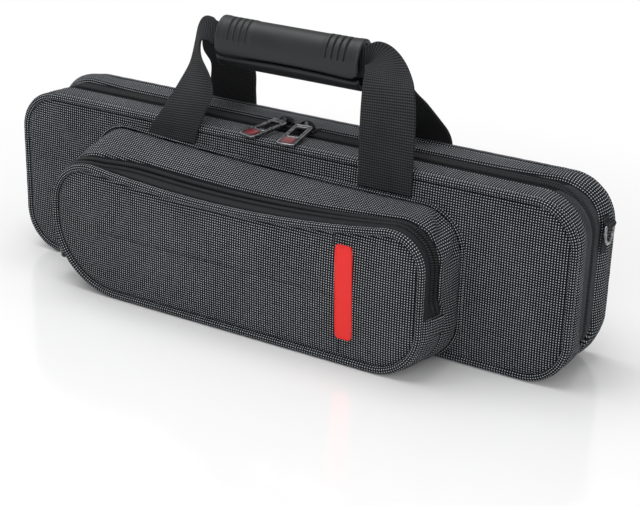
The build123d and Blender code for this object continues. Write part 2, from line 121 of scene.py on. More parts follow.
class Finish:
    """One material: a Principled shader with fixed values, and the nodes that vary it over a surface."""

    def __init__(self, name, **fixed):
        self.material = bpy.data.materials.new(name)
        self.material.use_nodes = True
        self.tree = self.material.node_tree
        self.shader = self.tree.nodes["Principled BSDF"]
        for key, value in fixed.items():
            self.shader.inputs[key.replace("_", " ")].default_value = value

    def node(self, kind, settings=(), inputs=(), output=0):
        """Adds a node with its settings, then its inputs' values or links, and returns one output."""
        made = self.tree.nodes.new(kind)
        for key, value in dict(settings).items():
            setattr(made, key, value)
        for key, value in dict(inputs if isinstance(inputs, dict) else enumerate(inputs)).items():
            if isinstance(value, Signal):
                self.tree.links.new(value.socket, made.inputs[key])
            else:
                made.inputs[key].default_value = value
        return Signal(self, made.outputs[output])

    def place(self):
        """The point of the surface, in metres, as a vector."""
        return self.node("ShaderNodeTexCoord", output="Object")

    def measured(self):
        """The distances along and across a sheet, in metres, from its own UV map."""
        measure = self.node("ShaderNodeUVMap", {"uv_map": "metres"})
        parts = self.node("ShaderNodeSeparateXYZ", inputs=(measure,))
        return parts, Signal(self, parts.socket.node.outputs[1])

    def noise(self, scale, detail, roughness=0.5):
        """Cloudy noise from 0 to 1: lumps a metre divided by scale wide, broken up finer by detail."""
        inputs = {"Vector": self.place(), "Scale": scale, "Detail": detail, "Roughness": roughness}
        return self.node("ShaderNodeTexNoise", inputs=inputs)

    def mix(self, share, first, second):
        """Colour from first to second as share goes from 0 to 1."""
        colours = [value if isinstance(value, Signal) else (*value, 1.0) for value in (first, second)]
        inputs = {0: share, 6: colours[0], 7: colours[1]}
        return self.node("ShaderNodeMix", {"data_type": "RGBA"}, inputs, 2)

    def feed(self, socket, signal):
        self.tree.links.new(signal.socket, self.shader.inputs[socket])

    def bump(self, height, depth):
        """Turns a height from 0 to 1 into relief of that many metres."""
        relief = self.node("ShaderNodeBump", inputs={"Strength": 1.0, "Distance": depth, "Height": height})
        self.feed("Normal", relief)

    def mottle(self, scale, detail, first, second, depth=0.0):
        """Varies the colour by noise from first to second, with relief that is depth metres high."""
        grain = self.noise(scale, detail)
        self.feed("Base Color", self.mix(grain, first, second))
        if depth:
            self.bump(grain, depth)
        return grain


paper = Finish(
    "paper_sweep", Base_Color=(0.97, 0.97, 0.97, 1), Roughness=0.14,
    Coat_Weight=0.7, Coat_IOR=1.8, Coat_Roughness=0.12,
)
lit_paper = Signal(paper, paper.shader.outputs[0])
burnt_out = paper.node("ShaderNodeEmission", inputs=((1, 1, 1, 1), 1.0))
in_front = paper.node("ShaderNodeVectorMath", {"operation": "ADD"}, (paper.place(), (-0.04, 0.12, 0.0)))
distance = paper.node("ShaderNodeVectorMath", {"operation": "LENGTH"}, (in_front,), 1)
blend_out = paper.node("ShaderNodeMixShader", inputs=(distance.step(0.26, 0.62), lit_paper, burnt_out))
paper.tree.links.new(blend_out.socket, paper.tree.nodes["Material Output"].inputs[0])

floor = bpy.data.objects.new("floor", bpy.data.meshes.new("floor"))
floor_half = 6.0
corners = [(x * floor_half, y * floor_half, 0.0) for x, y in ((-1, -1), (1, -1), (1, 1), (-1, 1))]
floor.data.from_pydata(corners, [], [(0, 1, 2, 3)])
floor.data.materials.append(paper.material)
bpy.context.scene.collection.objects.link(floor)


def soft_box(name, place, aim, size, power):
    """A square area lamp at place, turned towards aim; metres and watts."""
    lamp = bpy.data.objects.new(name, bpy.data.lights.new(name, "AREA"))
    lamp.data.size, lamp.data.energy = size, power
    lamp.rotation_euler = (Vector(place) - Vector(aim)).to_track_quat("Z", "Y").to_euler()
    lamp.location = place
    bpy.context.scene.collection.objects.link(lamp)


soft_box("overhead_box", (-0.25, -0.10, 1.50), (0, 0, 0.05), 1.3, 17.0)
soft_box("front_box", (0.35, -1.70, 0.85), (0, 0, 0.06), 1.2, 9.0)
soft_box("right_box", (1.60, -0.10, 0.70), (0.1, 0, 0.08), 0.9, 5.0)
soft_box("left_box", (-1.50, 0.30, 0.80), (-0.1, 0, 0.08), 0.9, 4.0)

# the room's light, which is dimmer than the white that the camera sees of it
room_light = 0.42
world = bpy.data.worlds.new("studio")
bpy.context.scene.world = world
world.use_nodes = True
backdrop = world.node_tree.nodes["Background"]
paths = world.node_tree.nodes.new("ShaderNodeLightPath")
seen = world.node_tree.nodes.new("ShaderNodeMath")
strength = world.node_tree.nodes.new("ShaderNodeMapRange")
seen.operation = "MAXIMUM"
strength.inputs["To Min"].default_value, strength.inputs["To Max"].default_value = room_light, 1.0
for source, target in (
    (paths.outputs["Is Camera Ray"], seen.inputs[0]),
    (paths.outputs["Is Transmission Ray"], seen.inputs[1]),
    (seen.outputs[0], strength.inputs[0]),
    (strength.outputs[0], backdrop.inputs["Strength"]),
):
    world.node_tree.links.new(source, target)
backdrop.inputs["Color"].default_value = (1, 1, 1, 1)


# ---------------------------------------------------------------------------------------------------
# Large panels. Polyester fabric, charcoal with a small pale dot at every crossing, glued over foam, so
# it stands a little proud in the middle and is drawn down where it is sewn in beside the piping.
def corners_of(*names):
    """Lowest and highest corner, in millimetres, of one or more solid pieces together."""
    boxes = np.array([[tuple(corner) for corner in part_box(name)] for name in names]) / MM
    return boxes[:, 0].min(axis=0), boxes[:, 1].max(axis=0)


case_low, case_high = corners_of("front_piping", "back_piping")
length, height = case_high[0] - case_low[0], case_high[2] - case_low[2]
half_depth = (case_high[1] - case_low[1]) / 2
mid_y = (case_high[1] + case_low[1]) / 2
corner_radius = 30.0
piping_low, piping_high = corners_of("back_piping")
piping_radius = (piping_high[1] - piping_low[1]) / 2
inside_case = (0.0, mid_y, height / 2)
# each half's name, its side of the plane where they meet, and the body that it moves with
halves = (("front", -1, "lid"), ("back", 1, "base"))


def outline(left, right, bottom, tops, radii, counts=(60, 18, 22, 120)):
    """A closed loop in X and Z, from the bottom's middle to the right and up round the top.

    Its sides are straight, its corners are cubic curves with a circle's handles, and its top is the
    parabola through three heights: at the left, the middle and the right. The radii are those of the
    lower right, upper right, upper left and lower left corners.
    """
    middle, half = (left + right) / 2, (right - left) / 2
    bow, lean = (tops[0] + tops[2]) / 2 - tops[1], (tops[2] - tops[0]) / 2
    low_right, high_right, high_left, low_left = radii
    circle_handle = 0.5523

    def top(x):
        across = (x - middle) / half
        return tops[1] + lean * across + bow * across**2

    def shares(count):
        return np.linspace(0, 1, count, endpoint=False)[:, None]

    def straight(start, stop, count):
        return np.array(start) * (1 - shares(count)) + np.array(stop) * shares(count)

    def corner(start, point, stop, count):
        start, point, stop, share = np.array(start), np.array(point), np.array(stop), shares(count)
        handle_in, handle_out = start + circle_handle * (point - start), stop + circle_handle * (point - stop)
        return (
            start * (1 - share) ** 3 + 3 * handle_in * share * (1 - share) ** 2
            + 3 * handle_out * share**2 * (1 - share) + stop * share**3
        )

    bottom_half, corner_count, side, across_top = counts
    x = np.linspace(right - high_right, left + high_left, across_top, endpoint=False)
    right_top, left_top = (right, top(right) - high_right), (left, top(left) - high_left)
    return np.vstack((
        straight((middle, bottom), (right - low_right, bottom), bottom_half),
        corner((right - low_right, bottom), (right, bottom), (right, bottom + low_right), corner_count),
        straight((right, bottom + low_right), right_top, side),
        corner(right_top, (right, top(right)), (x[0], top(x[0])), corner_count),
        np.stack((x, top(x)), axis=1),
        corner((left + high_left, top(left + high_left)), (left, top(left)), left_top, corner_count),
        straight(left_top, (left, bottom + low_left), side),
        corner((left, bottom + low_left), (left, bottom), (left + low_left, bottom), corner_count),
        straight((left + low_left, bottom), (middle, bottom), bottom_half),
    ))


def case_loop(inset):
    """The case's outline drawn in by inset."""
    tops = (height - inset,) * 3
    return outline(-length / 2 + inset, length / 2 - inset, inset, tops, (corner_radius - inset,) * 4)


def run_of(points, closed=True):
    """Distance along a line of points, from its first, and its whole length."""
    steps = np.linalg.norm(np.roll(points, -1, axis=0) - points, axis=1)
    run = np.concatenate(([0.0], np.cumsum(steps)))
    return (run[:-1], run[-1]) if closed else (run[:-1], run[-2])


def unit(vectors):
    """Vectors scaled to length 1."""
    return vectors / np.linalg.norm(vectors, axis=-1, keepdims=True)


def outward(loop):
    """The unit normal of a closed loop in X and Z: its tangent turned a quarter turn outwards."""
    tangent = unit(np.roll(loop, -1, axis=0) - np.roll(loop, 1, axis=0))
    return np.stack((tangent[:, 1], -tangent[:, 0]), axis=1)


def cleaned(mesh, merge_within=0.0, recalculate=False):
    """Merges a mesh's points that are within so many metres, and turns its faces to point outwards."""
    tidy = bmesh.new()
    tidy.from_mesh(mesh)
    if merge_within:
        bmesh.ops.remove_doubles(tidy, verts=tidy.verts, dist=merge_within)
    if merge_within and recalculate:
        bmesh.ops.dissolve_degenerate(tidy, edges=tidy.edges, dist=1e-7)
    if recalculate:
        bmesh.ops.recalc_face_normals(tidy, faces=tidy.faces)
    tidy.to_mesh(mesh)
    tidy.free()


def piece(name, vertices, faces, finish, uv=None, middle=None, merge=False, turn=True):
    """A mesh object in metres, from vertices in millimetres, whose faces point away from middle."""
    mesh = bpy.data.meshes.new(name)
    faces = np.asarray(faces)
    vertices = np.asarray(vertices, float).reshape(-1, 3)
    spread = np.cross(
        vertices[faces[:, 2]] - vertices[faces[:, 0]],
        vertices[faces[:, -1]] - vertices[faces[:, 1]],
    )
    away = vertices[faces].mean(axis=1) - (vertices.mean(axis=0) if middle is None else np.array(middle))
    if turn and (spread * away).sum() < 0:
        faces = faces[:, ::-1]
        uv = None if uv is None else uv[:, ::-1]
    mesh.from_pydata((vertices * MM).tolist(), [], faces.tolist())
    if uv is not None:
        layer = mesh.uv_layers.new(name="metres")
        layer.data.foreach_set("uv", np.asarray(uv, np.float32).ravel() * MM)
    mesh.polygons.foreach_set("use_smooth", [True] * len(mesh.polygons))
    mesh.materials.append(finish.material)
    made = bpy.data.objects.new(name, mesh)
    bpy.context.scene.collection.objects.link(made)
    if merge:
        cleaned(mesh, 1e-6)
    return made


def quads(rows, columns, closed=False, tube=False):
    """The four corners of each face of a grid whose points are numbered row by row.

    A closed grid joins its last row to its first, and a tube its last column to its first.
    """
    n = np.arange(rows if closed else rows - 1)[:, None]
    m = np.arange(columns if tube else columns - 1)[None, :]
    after, beside = (n + 1) % rows, (m + 1) % columns
    corners = (n * columns + m, after * columns + m, after * columns + beside, n * columns + beside)
    return np.stack(corners, axis=-1).reshape(-1, 4)


def sheet_of(name, grid, along, across, finish, closed=False, tube=False, **options):
    """A surface from a grid of points, n by m by 3, with its own measure in millimetres as its UV map.

    along is the measure down the n rows and across the measure over the m columns. A closed surface
    has one more value along than it has rows, and a tube one more across than it has columns.
    """
    along, across = np.broadcast_arrays(np.asarray(along)[:, None], across)
    measure = np.stack((along, across), axis=-1)
    uv = measure.reshape(-1, 2)[quads(*along.shape)]
    return piece(name, grid, quads(*grid.shape[:2], closed, tube), finish, uv, **options)


# the cloth: a pale square fleck, not all of them alike, in every cell of a charcoal twill
cell_width, cell_height = 1.73 * MM, 1.63 * MM
charcoal, pale = (0.0075, 0.0082, 0.0098), (0.66, 0.69, 0.73)
woven = Finish("dotted_weave", Roughness=0.9, Specular_IOR_Level=0.12)
weave_u, weave_v = woven.measured()
cell_u, cell_v = weave_u * (1 / cell_width), weave_v * (1 / cell_height)
from_u, from_v = 1 - cell_u.wave(), 1 - cell_v.wave()
squareness = woven.node("ShaderNodeMath", {"operation": "MAXIMUM"}, (from_u, from_v))
roundness = woven.node("ShaderNodeMath", {"operation": "SQRT"}, (from_u * from_u + from_v * from_v,))
fleck = (squareness * 0.5 + roundness * 0.5).step(0.50, 0.25)
cell = woven.node("ShaderNodeCombineXYZ", inputs=(cell_u.nearest(), cell_v.nearest(), 0.0))
luck = woven.node("ShaderNodeTexWhiteNoise", {"noise_dimensions": "2D"}, {"Vector": cell})
slub = woven.noise(26.0, 3.0)
fleck_strength = fleck * (luck * 0.28 + 0.72) * (slub * 0.24 + 0.88)
ground = woven.mix(slub.step(0.35, 0.7), charcoal, tuple(1.7 * part for part in charcoal))
woven.feed("Base Color", woven.mix(fleck_strength, ground, pale))
twill = (cell_u * 4).wave() * (cell_v * 4).wave()
woven.bump(fleck * 0.7 + twill * 0.3, 0.00022)
groove_depth, crown, panel_cloth = 1.9, 1.3, 1.2


def ripple(run, whole, strengths, phase=0.0):
    """A repeating unevenness along a closed line: sines that fit its length a whole number of times."""
    waves = np.array(strengths)
    angle = 2 * np.pi * np.asarray(run)[..., None] / whole * waves[:, 0] + phase * (1 + np.arange(len(waves)))
    return (np.sin(angle) * waves[:, 1]).sum(axis=-1)


def crowned_panel(name, loop, spine_inset, spine_height, depth_at, rings=22, finish=woven):
    """Rings from the loop in to a line down its middle, each point set out by depth_at(distance, x, z).

    The line runs level at spine_height and stops spine_inset short of the loop's ends.
    """
    spine_x = np.clip(loop[:, 0], loop[:, 0].min() + spine_inset, loop[:, 0].max() - spine_inset)
    spine = np.stack((spine_x, np.full(len(loop), spine_height)), axis=1)
    share = (np.linspace(0, 1, rings) ** 1.9)[None, :, None]
    flat = loop[:, None] * (1 - share) + spine[:, None] * share
    distance = np.linalg.norm(flat - loop[:, None], axis=-1)
    y = depth_at(distance, flat[..., 0], flat[..., 1])
    grid = np.stack((flat[..., 0], y, flat[..., 1]), axis=-1)
    faces = quads(*grid.shape[:2], closed=True)
    uv = grid.reshape(-1, 3)[faces][..., (0, 2)]
    return piece(name, grid, faces, finish, uv, middle=inside_case, merge=True)


def thickened(made, millimetres):
    """Gives a surface its cloth's thickness, on its inner side."""
    wall = made.modifiers.new("thickness", "SOLIDIFY")
    wall.thickness, wall.offset = millimetres * MM, -1.0


for half, side, body in halves:
    def panel_depth(distance, x, z):
        """The depth of the panel's cloth: drawn down at its seam, full in the middle and a little uneven."""
        sewn = groove_depth * np.exp(-distance / 1.1) + 0.4 * np.exp(-distance / 7.0)
        swell = crown * (1 - np.exp(-distance / 20.0))
        waves = np.sin(x / 23.0 + z / 31.0 + side) * np.sin(x / 51.0 - z / 17.0)
        sway = 0.22 * waves * (1 - np.exp(-distance / 9.0))
        return mid_y + side * (half_depth - 0.75 - sewn + swell + sway)

    panel_edge = case_loop(2 * piping_radius - 1.1)
    panel = crowned_panel(f"{half}_panel_cloth", panel_edge, 48, height / 2, panel_depth)
    thickened(panel, panel_cloth)
    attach(panel, body)
    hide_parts(f"{half}_panel")


# ---------------------------------------------------------------------------------------------------
# Piping. A 5 mm cord wrapped in the same dotted fabric and sewn round the edge of each large panel,
# pinched a little by its stitches.
def carried(line, ways, reach, y, floor=-np.inf):
    """Points that stand out from a line in X and Z by reach along its normals, at depth y.

    reach and y have a row for each point of the line and a column for each point across, and no
    point is left lower than floor.
    """
    reach, y = np.broadcast_arrays(reach, y)
    flat = line[:, None] + ways[:, None] * reach[..., None]
    return np.stack((flat[..., 0], y, np.maximum(flat[..., 1], floor)), axis=-1)


def piping(name, loop, y, radius, pinches, phase, floor=-np.inf):
    """A cord round a loop: a circle carried along it, whose radius changes by the ripple of pinches."""
    run, whole = run_of(loop)
    turn = np.linspace(0, 2 * np.pi, 14, endpoint=False)
    pinched = radius * (1 + ripple(run, whole, pinches, phase))[:, None]
    grid = carried(loop, outward(loop), pinched * np.cos(turn), y + pinched * np.sin(turn), floor)
    around = np.linspace(0, 2 * np.pi * radius, len(turn) + 1)
    return sheet_of(name, grid, np.append(run, whole), around, woven, closed=True, tube=True)


for half, side, body in halves:
    case_pinches = ((61, 0.016), (97, 0.014), (173, 0.012))
    cord_y = mid_y + side * (half_depth - piping_radius)
    cord = piping(f"{half}_piping_cord", case_loop(piping_radius), cord_y, piping_radius, case_pinches, side)
    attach(cord, body)
    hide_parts(f"{half}_piping")

# ---------------------------------------------------------------------------------------------------
# Side fabric. A band of the same cloth round each half, sewn in beside the piping, padded behind and
# folded under where it meets the zip's tape. Below the zip's ends it runs on to meet the other half.
zip_end_height, window_half, rim_gap = 22.0, 10.0, 0.4
straight_x = length / 2 - corner_radius
gusset_seam = half_depth - 2 * piping_radius + 0.4
side_cloth, clear_of_ground = 1.1, 0.12


def smooth_step(value, low, high):
    """0 below low, 1 above high and the cubic 3t^2 - 2t^3 between."""
    t = np.clip((np.asarray(value, float) - low) / (high - low), 0, 1)
    return t * t * (3 - 2 * t)


def bell(value, centre, width):
    """A smooth bump of height 1 at centre: exp(-((value - centre) / width)^2)."""
    return np.exp(-(((value - centre) / width) ** 2))


def across_of(grid):
    """The distance over each row of a grid, from its first point."""
    steps = np.linalg.norm(np.diff(grid, axis=1), axis=-1)
    return np.pad(np.cumsum(steps, axis=1), ((0, 0), (1, 0)))


def wide_band(name, line, reach, depth, side, finish):
    """A surface along an open line in X and Z: out from it by reach, and depth from the mid plane."""
    tangent = unit(np.gradient(line, axis=0))
    ways = np.stack((tangent[:, 1], -tangent[:, 0]), axis=1)
    grid = carried(line, ways, reach, mid_y + side * depth, clear_of_ground)
    return sheet_of(name, grid, run_of(line, False)[0], across_of(grid), finish, middle=inside_case)


def open_loop(loop, start_x):
    """The loop from its lowest straight's right end, where X is start_x, round the top to the left."""
    first = np.argmax(loop[:, 0] >= start_x)
    last = len(loop) - np.argmax(loop[::-1, 0] <= -start_x)
    return loop[first:last]


def drawn_in(points):
    """How far the zip lies inside the case's outline: flush on top, deeper down both ends."""
    return 3.0 * smooth_step(np.abs(points[:, :1]), 176, 206) * smooth_step(points[:, 1:], 16, 36)


side_line = open_loop(case_loop(1.0), straight_x - 1)
side_run = run_of(side_line, False)[0]
side_x, side_z = np.abs(side_line[:, :1]), side_line[:, 1:]
at_end = smooth_step(side_x, 185, 207)
at_corner = bell(side_x, 190, 34) * smooth_step(side_z, 84, 116)
near_seam, between, near_fold = np.linspace(0, 0.1, 7), np.linspace(0.13, 0.85, 17), np.linspace(0.88, 1, 10)
share = np.concatenate((near_seam, between, near_fold))[None, :]
arch = np.sin(np.pi * share)
for half, side, body in halves:
    fold_depth = rim_gap + (window_half - 0.3 - rim_gap) * smooth_step(side_z, 18.5, 24)
    depth = gusset_seam + (fold_depth - gusset_seam) * share
    from_seam, from_fold = gusset_seam - depth, depth - fold_depth
    fullness = 0.85 + (0.9 * at_end if side < 0 else 2.1 * at_end + 2.4 * at_corner)
    swell = fullness * arch**0.6 - drawn_in(side_line) * share**2
    tuck = 1.9 * np.exp(-from_seam / 0.9)
    roll_over = 0.55 * bell(from_fold, 1.6, 1.3) - 2.3 * np.exp(-from_fold / 0.42)
    sway = 0.22 * (np.sin(side_run / 19.0 + side) * np.sin(side_run / 47.0))[:, None] * arch
    cloth = wide_band(f"{half}_side_cloth", side_line, swell - tuck + roll_over + sway, depth, side, woven)
    thickened(cloth, side_cloth)
    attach(cloth, body)
    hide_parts(f"{half}_zip_gusset")

# ---------------------------------------------------------------------------------------------------
# Bottom fabric. One strip of the cloth joins the two halves under the case and is the real case's hinge:
# it is sewn in beside both pipings and creased along the middle, where the real cloth folds as the lid
# opens.
strip_cloth = 1.0
strip_x = np.linspace(-straight_x, straight_x, 150)
strip_depth = np.linspace(-gusset_seam, gusset_seam, 41)
edge = gusset_seam - np.abs(strip_depth)
strip_rise = 0.3 + 1.6 * np.exp(-edge / 0.9) + 0.75 * bell(strip_depth, 0, 1.5)
strip_wave = 0.12 * (1 + np.sin(strip_x / 13.0)[:, None] * np.sin(strip_depth / 7.0)[None, :])
strip = np.stack(np.broadcast_arrays(
    strip_x[:, None], mid_y + strip_depth[None, :], strip_rise[None, :] + strip_wave,
), axis=-1)
hinge_strip = sheet_of("hinge_strip", strip, strip_x, strip_depth, woven, middle=inside_case)
thickened(hinge_strip, strip_cloth)
(mid_y - 4) * MM
(mid_y + 4) * MM
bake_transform(hinge_strip)
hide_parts("front_bottom_gusset", "back_bottom_gusset")

# ---------------------------------------------------------------------------------------------------
# Main zip. Black woven tape on each half with a nylon coil along its edge; the two coils mesh in the
# middle of the gap. It is sewn in under the folds of the side fabric.
tape_cloth = Finish("zip_tape_cloth", Roughness=0.9, Specular_IOR_Level=0.12)
tape_u, tape_v = tape_cloth.measured()
tape_rib = ((tape_u + tape_v) * (1 / (0.9 * MM))).wave()
tape_cloth.feed("Base Color", tape_cloth.mix(tape_rib, (0.006, 0.0063, 0.0072), (0.014, 0.0147, 0.0165)))
tape_cloth.bump(tape_rib, 0.00012)
nylon = Finish("zip_nylon", Specular_IOR_Level=0.3)
nylon_wear = nylon.mottle(900.0, 2.0, (0.009, 0.0094, 0.0105), (0.042, 0.0435, 0.047))
nylon.feed("Roughness", nylon_wear * 0.25 + 0.32)
coil_pitch, coil_inner, coil_outer, coil_height, coil_slant = 1.62, 0.25, 3.9, 1.55, 0.28
turn_half_width, tape_thickness = 0.54, 0.7


def repeated(name, middles, along, across, out, sizes, finish, rows=4, columns=7):
    """Half-round bumps: at each middle, half an ellipsoid with its three half sizes along three vectors.

    along and across lie in the surface that the bumps stand on, and out points away from it.
    """
    turn = np.linspace(0, 2 * np.pi, columns, endpoint=False)
    rise = np.linspace(0, np.pi / 2, rows, endpoint=False)[:, None]
    level = np.broadcast_to(np.sin(rise), (rows, columns))
    bump = np.stack((np.cos(rise) * np.cos(turn), np.cos(rise) * np.sin(turn), level), axis=-1)
    bump = np.vstack((bump.reshape(-1, 3), (0, 0, 1))) * sizes
    grid = middles[:, None] + np.einsum("bn,nmx->mbx", bump, np.stack((along, across, out)))
    last = (rows - 1) * columns + np.arange(columns)
    tip = np.full(columns, len(bump) - 1)
    top = np.stack((last, np.roll(last, -1), tip, tip), axis=-1)
    block = np.vstack((quads(rows, columns, tube=True)[:, (0, 3, 2, 1)], top))
    faces = (np.arange(len(middles))[:, None, None] * len(bump) + block).reshape(-1, 4)
    return piece(name, grid, faces, finish, merge=True, turn=False)


def spaced(points, pitch):
    """Points a pitch apart along an open line, and the unit tangents there."""
    run, whole = run_of(points, False)
    at = np.linspace(0, whole, int(whole / pitch) + 1)
    dense = np.stack([np.interp(at, run, points[:, n]) for n in range(points.shape[1])], axis=1)
    return dense, unit(np.gradient(dense, axis=0))


def zip_coil(name, centres, tangent, across, out, slant, sizes):
    """A row of coil turns, each leaning by slant radians off square to the zip."""
    lean_along = tangent * np.cos(slant) + across * np.sin(slant)
    lean_across = across * np.cos(slant) - tangent * np.sin(slant)
    return repeated(name, centres, lean_along, lean_across, out, sizes, nylon)


window = side_line[side_z[:, 0] > zip_end_height]
tape_share = np.linspace(0, 1, 11)[None, :]
tape_depth = window_half + 0.6 - (window_half + 0.2) * tape_share
tape_reach = -0.55 - 0.5 * np.sin(np.pi * tape_share) - drawn_in(window)
for half, side, body in halves:
    tape = wide_band(f"{half}_zip_tape_cloth", window, tape_reach, tape_depth, side, tape_cloth)
    thickened(tape, tape_thickness)
    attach(tape, body)
    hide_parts(f"{half}_zip_tape")
    centres, tangent = spaced(window[window[:, 1] > zip_end_height + 1], coil_pitch)
    out = np.stack((tangent[:, 1], 0 * tangent[:, 0], -tangent[:, 0]), axis=1)
    tangent = np.stack((tangent[:, 0], 0 * tangent[:, 0], tangent[:, 1]), axis=1)
    across = np.broadcast_to((0.0, float(side), 0.0), tangent.shape)
    middle_y = np.full(len(centres), mid_y + side * (coil_inner + coil_outer) / 2)
    places = np.stack((centres[:, 0], middle_y, centres[:, 1]), axis=1)
    places = places - out * (0.6 + drawn_in(centres)) + tangent * (coil_pitch / 4 * side)
    sizes = (turn_half_width, (coil_outer - coil_inner) / 2, coil_height)
    coil = zip_coil(f"{half}_zip_coil", places, tangent, across, out, coil_slant * side, sizes)
    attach(coil, body)
    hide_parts(f"{half}_zip_teeth")

# ---------------------------------------------------------------------------------------------------
# Pocket. A bag of the same cloth whose side fabric is sewn to the case with a thin welt. Its shape
# spreads from the seam on the case to the panel, and the cloth puckers at the corners.
seam_shape = (-141.0, 136.4, 0.0, (109.0, 102.0, 101.0))
panel_shape = (-150.3, 132.1, 0.0, (97.0, 86.0, 102.0))
seam_corners = (28.0, 28.0, 28.0, 28.0)
panel_corners = (34.0, 30.0, 38.0, 52.0)
pocket_counts = (56, 28, 30, 110)
seam_y = corners_of("pocket_gusset")[1][1]
panel_low, panel_high = corners_of("pocket_panel")
panel_y = (panel_low[1] + panel_high[1]) / 2
cord_low, cord_high = corners_of("pocket_piping")
pocket_piping_radius = (cord_high[1] - cord_low[1]) / 2
pocket_zip_end, pocket_cloth, pocket_tape, pocket_ground = 40.0, 1.2, 0.8, 0.15
seam_loop = outline(*seam_shape, seam_corners, pocket_counts)
front_loop = outline(*panel_shape, panel_corners, pocket_counts)


def pocket_loop(y, inset=0.0):
    """The pocket's outline at one depth, on straight lines from the seam's to the panel's."""
    share = np.reshape((seam_y - y) / (seam_y - panel_y), (-1, 1))
    loop = seam_loop * (1 - share) + front_loop * share
    return loop - outward(loop) * inset


# the zip runs nearer to the panel over the top than down the left end, and closes on it at the corner
zip_depth = 15.25
plain_loop = pocket_loop(panel_y + zip_depth)
over_left = bell(plain_loop[:, 0], -122, 24) * smooth_step(plain_loop[:, 1], 76, 92)
start_height = np.where(plain_loop[:, 0] < 0, 74.0, 42.0)
zip_shift = 4.4 * smooth_step(plain_loop[:, 1], start_height, start_height + 13) + 6.4 * over_left
zip_line = panel_y + zip_depth - zip_shift


def one_run(keep):
    """The places where keep is true, as one unbroken run round a closed loop."""
    order = np.flatnonzero(keep)
    breaks = np.flatnonzero(np.diff(order) > 1)
    return np.roll(order, -(breaks[0] + 1)) if len(breaks) else order


def pocket_band(name, depths, reach, finish, keep=None):
    """A surface round the pocket: each column has a depth for every point of the outline there.

    It stands out from the outline by reach, and keep picks the points that it covers.
    """
    rings = [pocket_loop(column) for column in depths.T]
    ways = np.stack([outward(ring) for ring in rings], axis=1)
    flat = np.stack(rings, axis=1) + ways * np.broadcast_to(reach, depths.shape)[..., None]
    grid = np.stack((flat[..., 0], depths, np.maximum(flat[..., 1], pocket_ground)), axis=-1)
    run, whole = run_of(pocket_loop(depths.mean()))
    across = across_of(grid)
    if keep is None:
        run, across = np.append(run, whole), np.vstack((across, across[:1]))
        return sheet_of(name, grid, run, across, finish, closed=True, middle=pocket_middle)
    order = one_run(keep)
    run = np.unwrap(run[order] / whole * 2 * np.pi) * whole / (2 * np.pi)
    return sheet_of(name, grid[order], run, across[order], finish, middle=pocket_middle)


pocket_middle = (-5.0, (seam_y + panel_y) / 2, 48.0)
middle_loop = pocket_loop(pocket_middle[1])
pocket_run = run_of(middle_loop)[0][:, None]


# the side fabric proper, from the seam to the zip's tape
near_seam, between, near_fold = np.linspace(0, 0.15, 6), np.linspace(0.2, 0.86, 16), np.linspace(0.9, 1, 5)
gusset_share = np.concatenate((near_seam, between, near_fold))
gusset_depths = seam_y + 0.3 - gusset_share[None, :] * (seam_y + 0.3 - zip_line - 5.6)[:, None]
back_off = seam_y - gusset_depths
front_off = gusset_depths - gusset_depths[:, -1:]
loop_x, loop_z = middle_loop[:, :1], middle_loop[:, 1:]
across_gusset = np.clip(back_off / (seam_y - gusset_depths[:, -1:]), 0, 1)
corner_right = bell(loop_x, 128, 16) * bell(loop_z, 88, 20)
corner_left = bell(loop_x, -130, 18) * bell(loop_z, 92, 18)
arch = np.sin(np.pi * across_gusset)
pucker = (
    corner_right * 2.0 * np.sin(pocket_run / 3.1 + across_gusset * 5) * arch
    - corner_right * 2.4 * bell(across_gusset, 0.32, 0.16)
    + corner_left * 0.9 * np.sin(pocket_run / 4.3 - across_gusset * 4) * arch
    + 0.35 * np.sin(pocket_run / 21.0 + 2 * across_gusset) * arch
)
swell = 1.1 * arch**0.7
tuck = 2.0 * np.exp(-back_off / 0.9)
roll_over = 0.5 * bell(front_off, 1.5, 1.2) - 1.7 * np.exp(-front_off / 0.45)
pocket_side = pocket_band("pocket_side_cloth", gusset_depths, swell + pucker - tuck + roll_over, woven)
thickened(pocket_side, pocket_cloth)
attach(pocket_side, "lid")
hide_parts("pocket_gusset")

# the welt over the seam on the case
welt_radius = 1.2
welt_loop = pocket_loop(seam_y, -welt_radius - 0.2)
welt_order = one_run(welt_loop[:, 1] > 3.0)
welt_line, welt_out = welt_loop[welt_order], outward(welt_loop)[welt_order]
welt_turn = np.linspace(0, 2 * np.pi, 10, endpoint=False)
from_start = np.arange(len(welt_line))
welt_taper = np.minimum(1, np.minimum(from_start, from_start[::-1]) / 3.0 + 0.05)[:, None]
welt_y = seam_y - welt_radius + 0.1 + welt_radius * welt_taper * np.sin(welt_turn)
welt_grid = carried(welt_line, welt_out, welt_radius * welt_taper * np.cos(welt_turn), welt_y)
welt_around = np.linspace(0, 2 * np.pi * welt_radius, 11)
welt = sheet_of("pocket_welt_cord", welt_grid, run_of(welt_line, False)[0], welt_around, woven, tube=True)
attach(welt, "lid")
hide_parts("pocket_seam_welt")
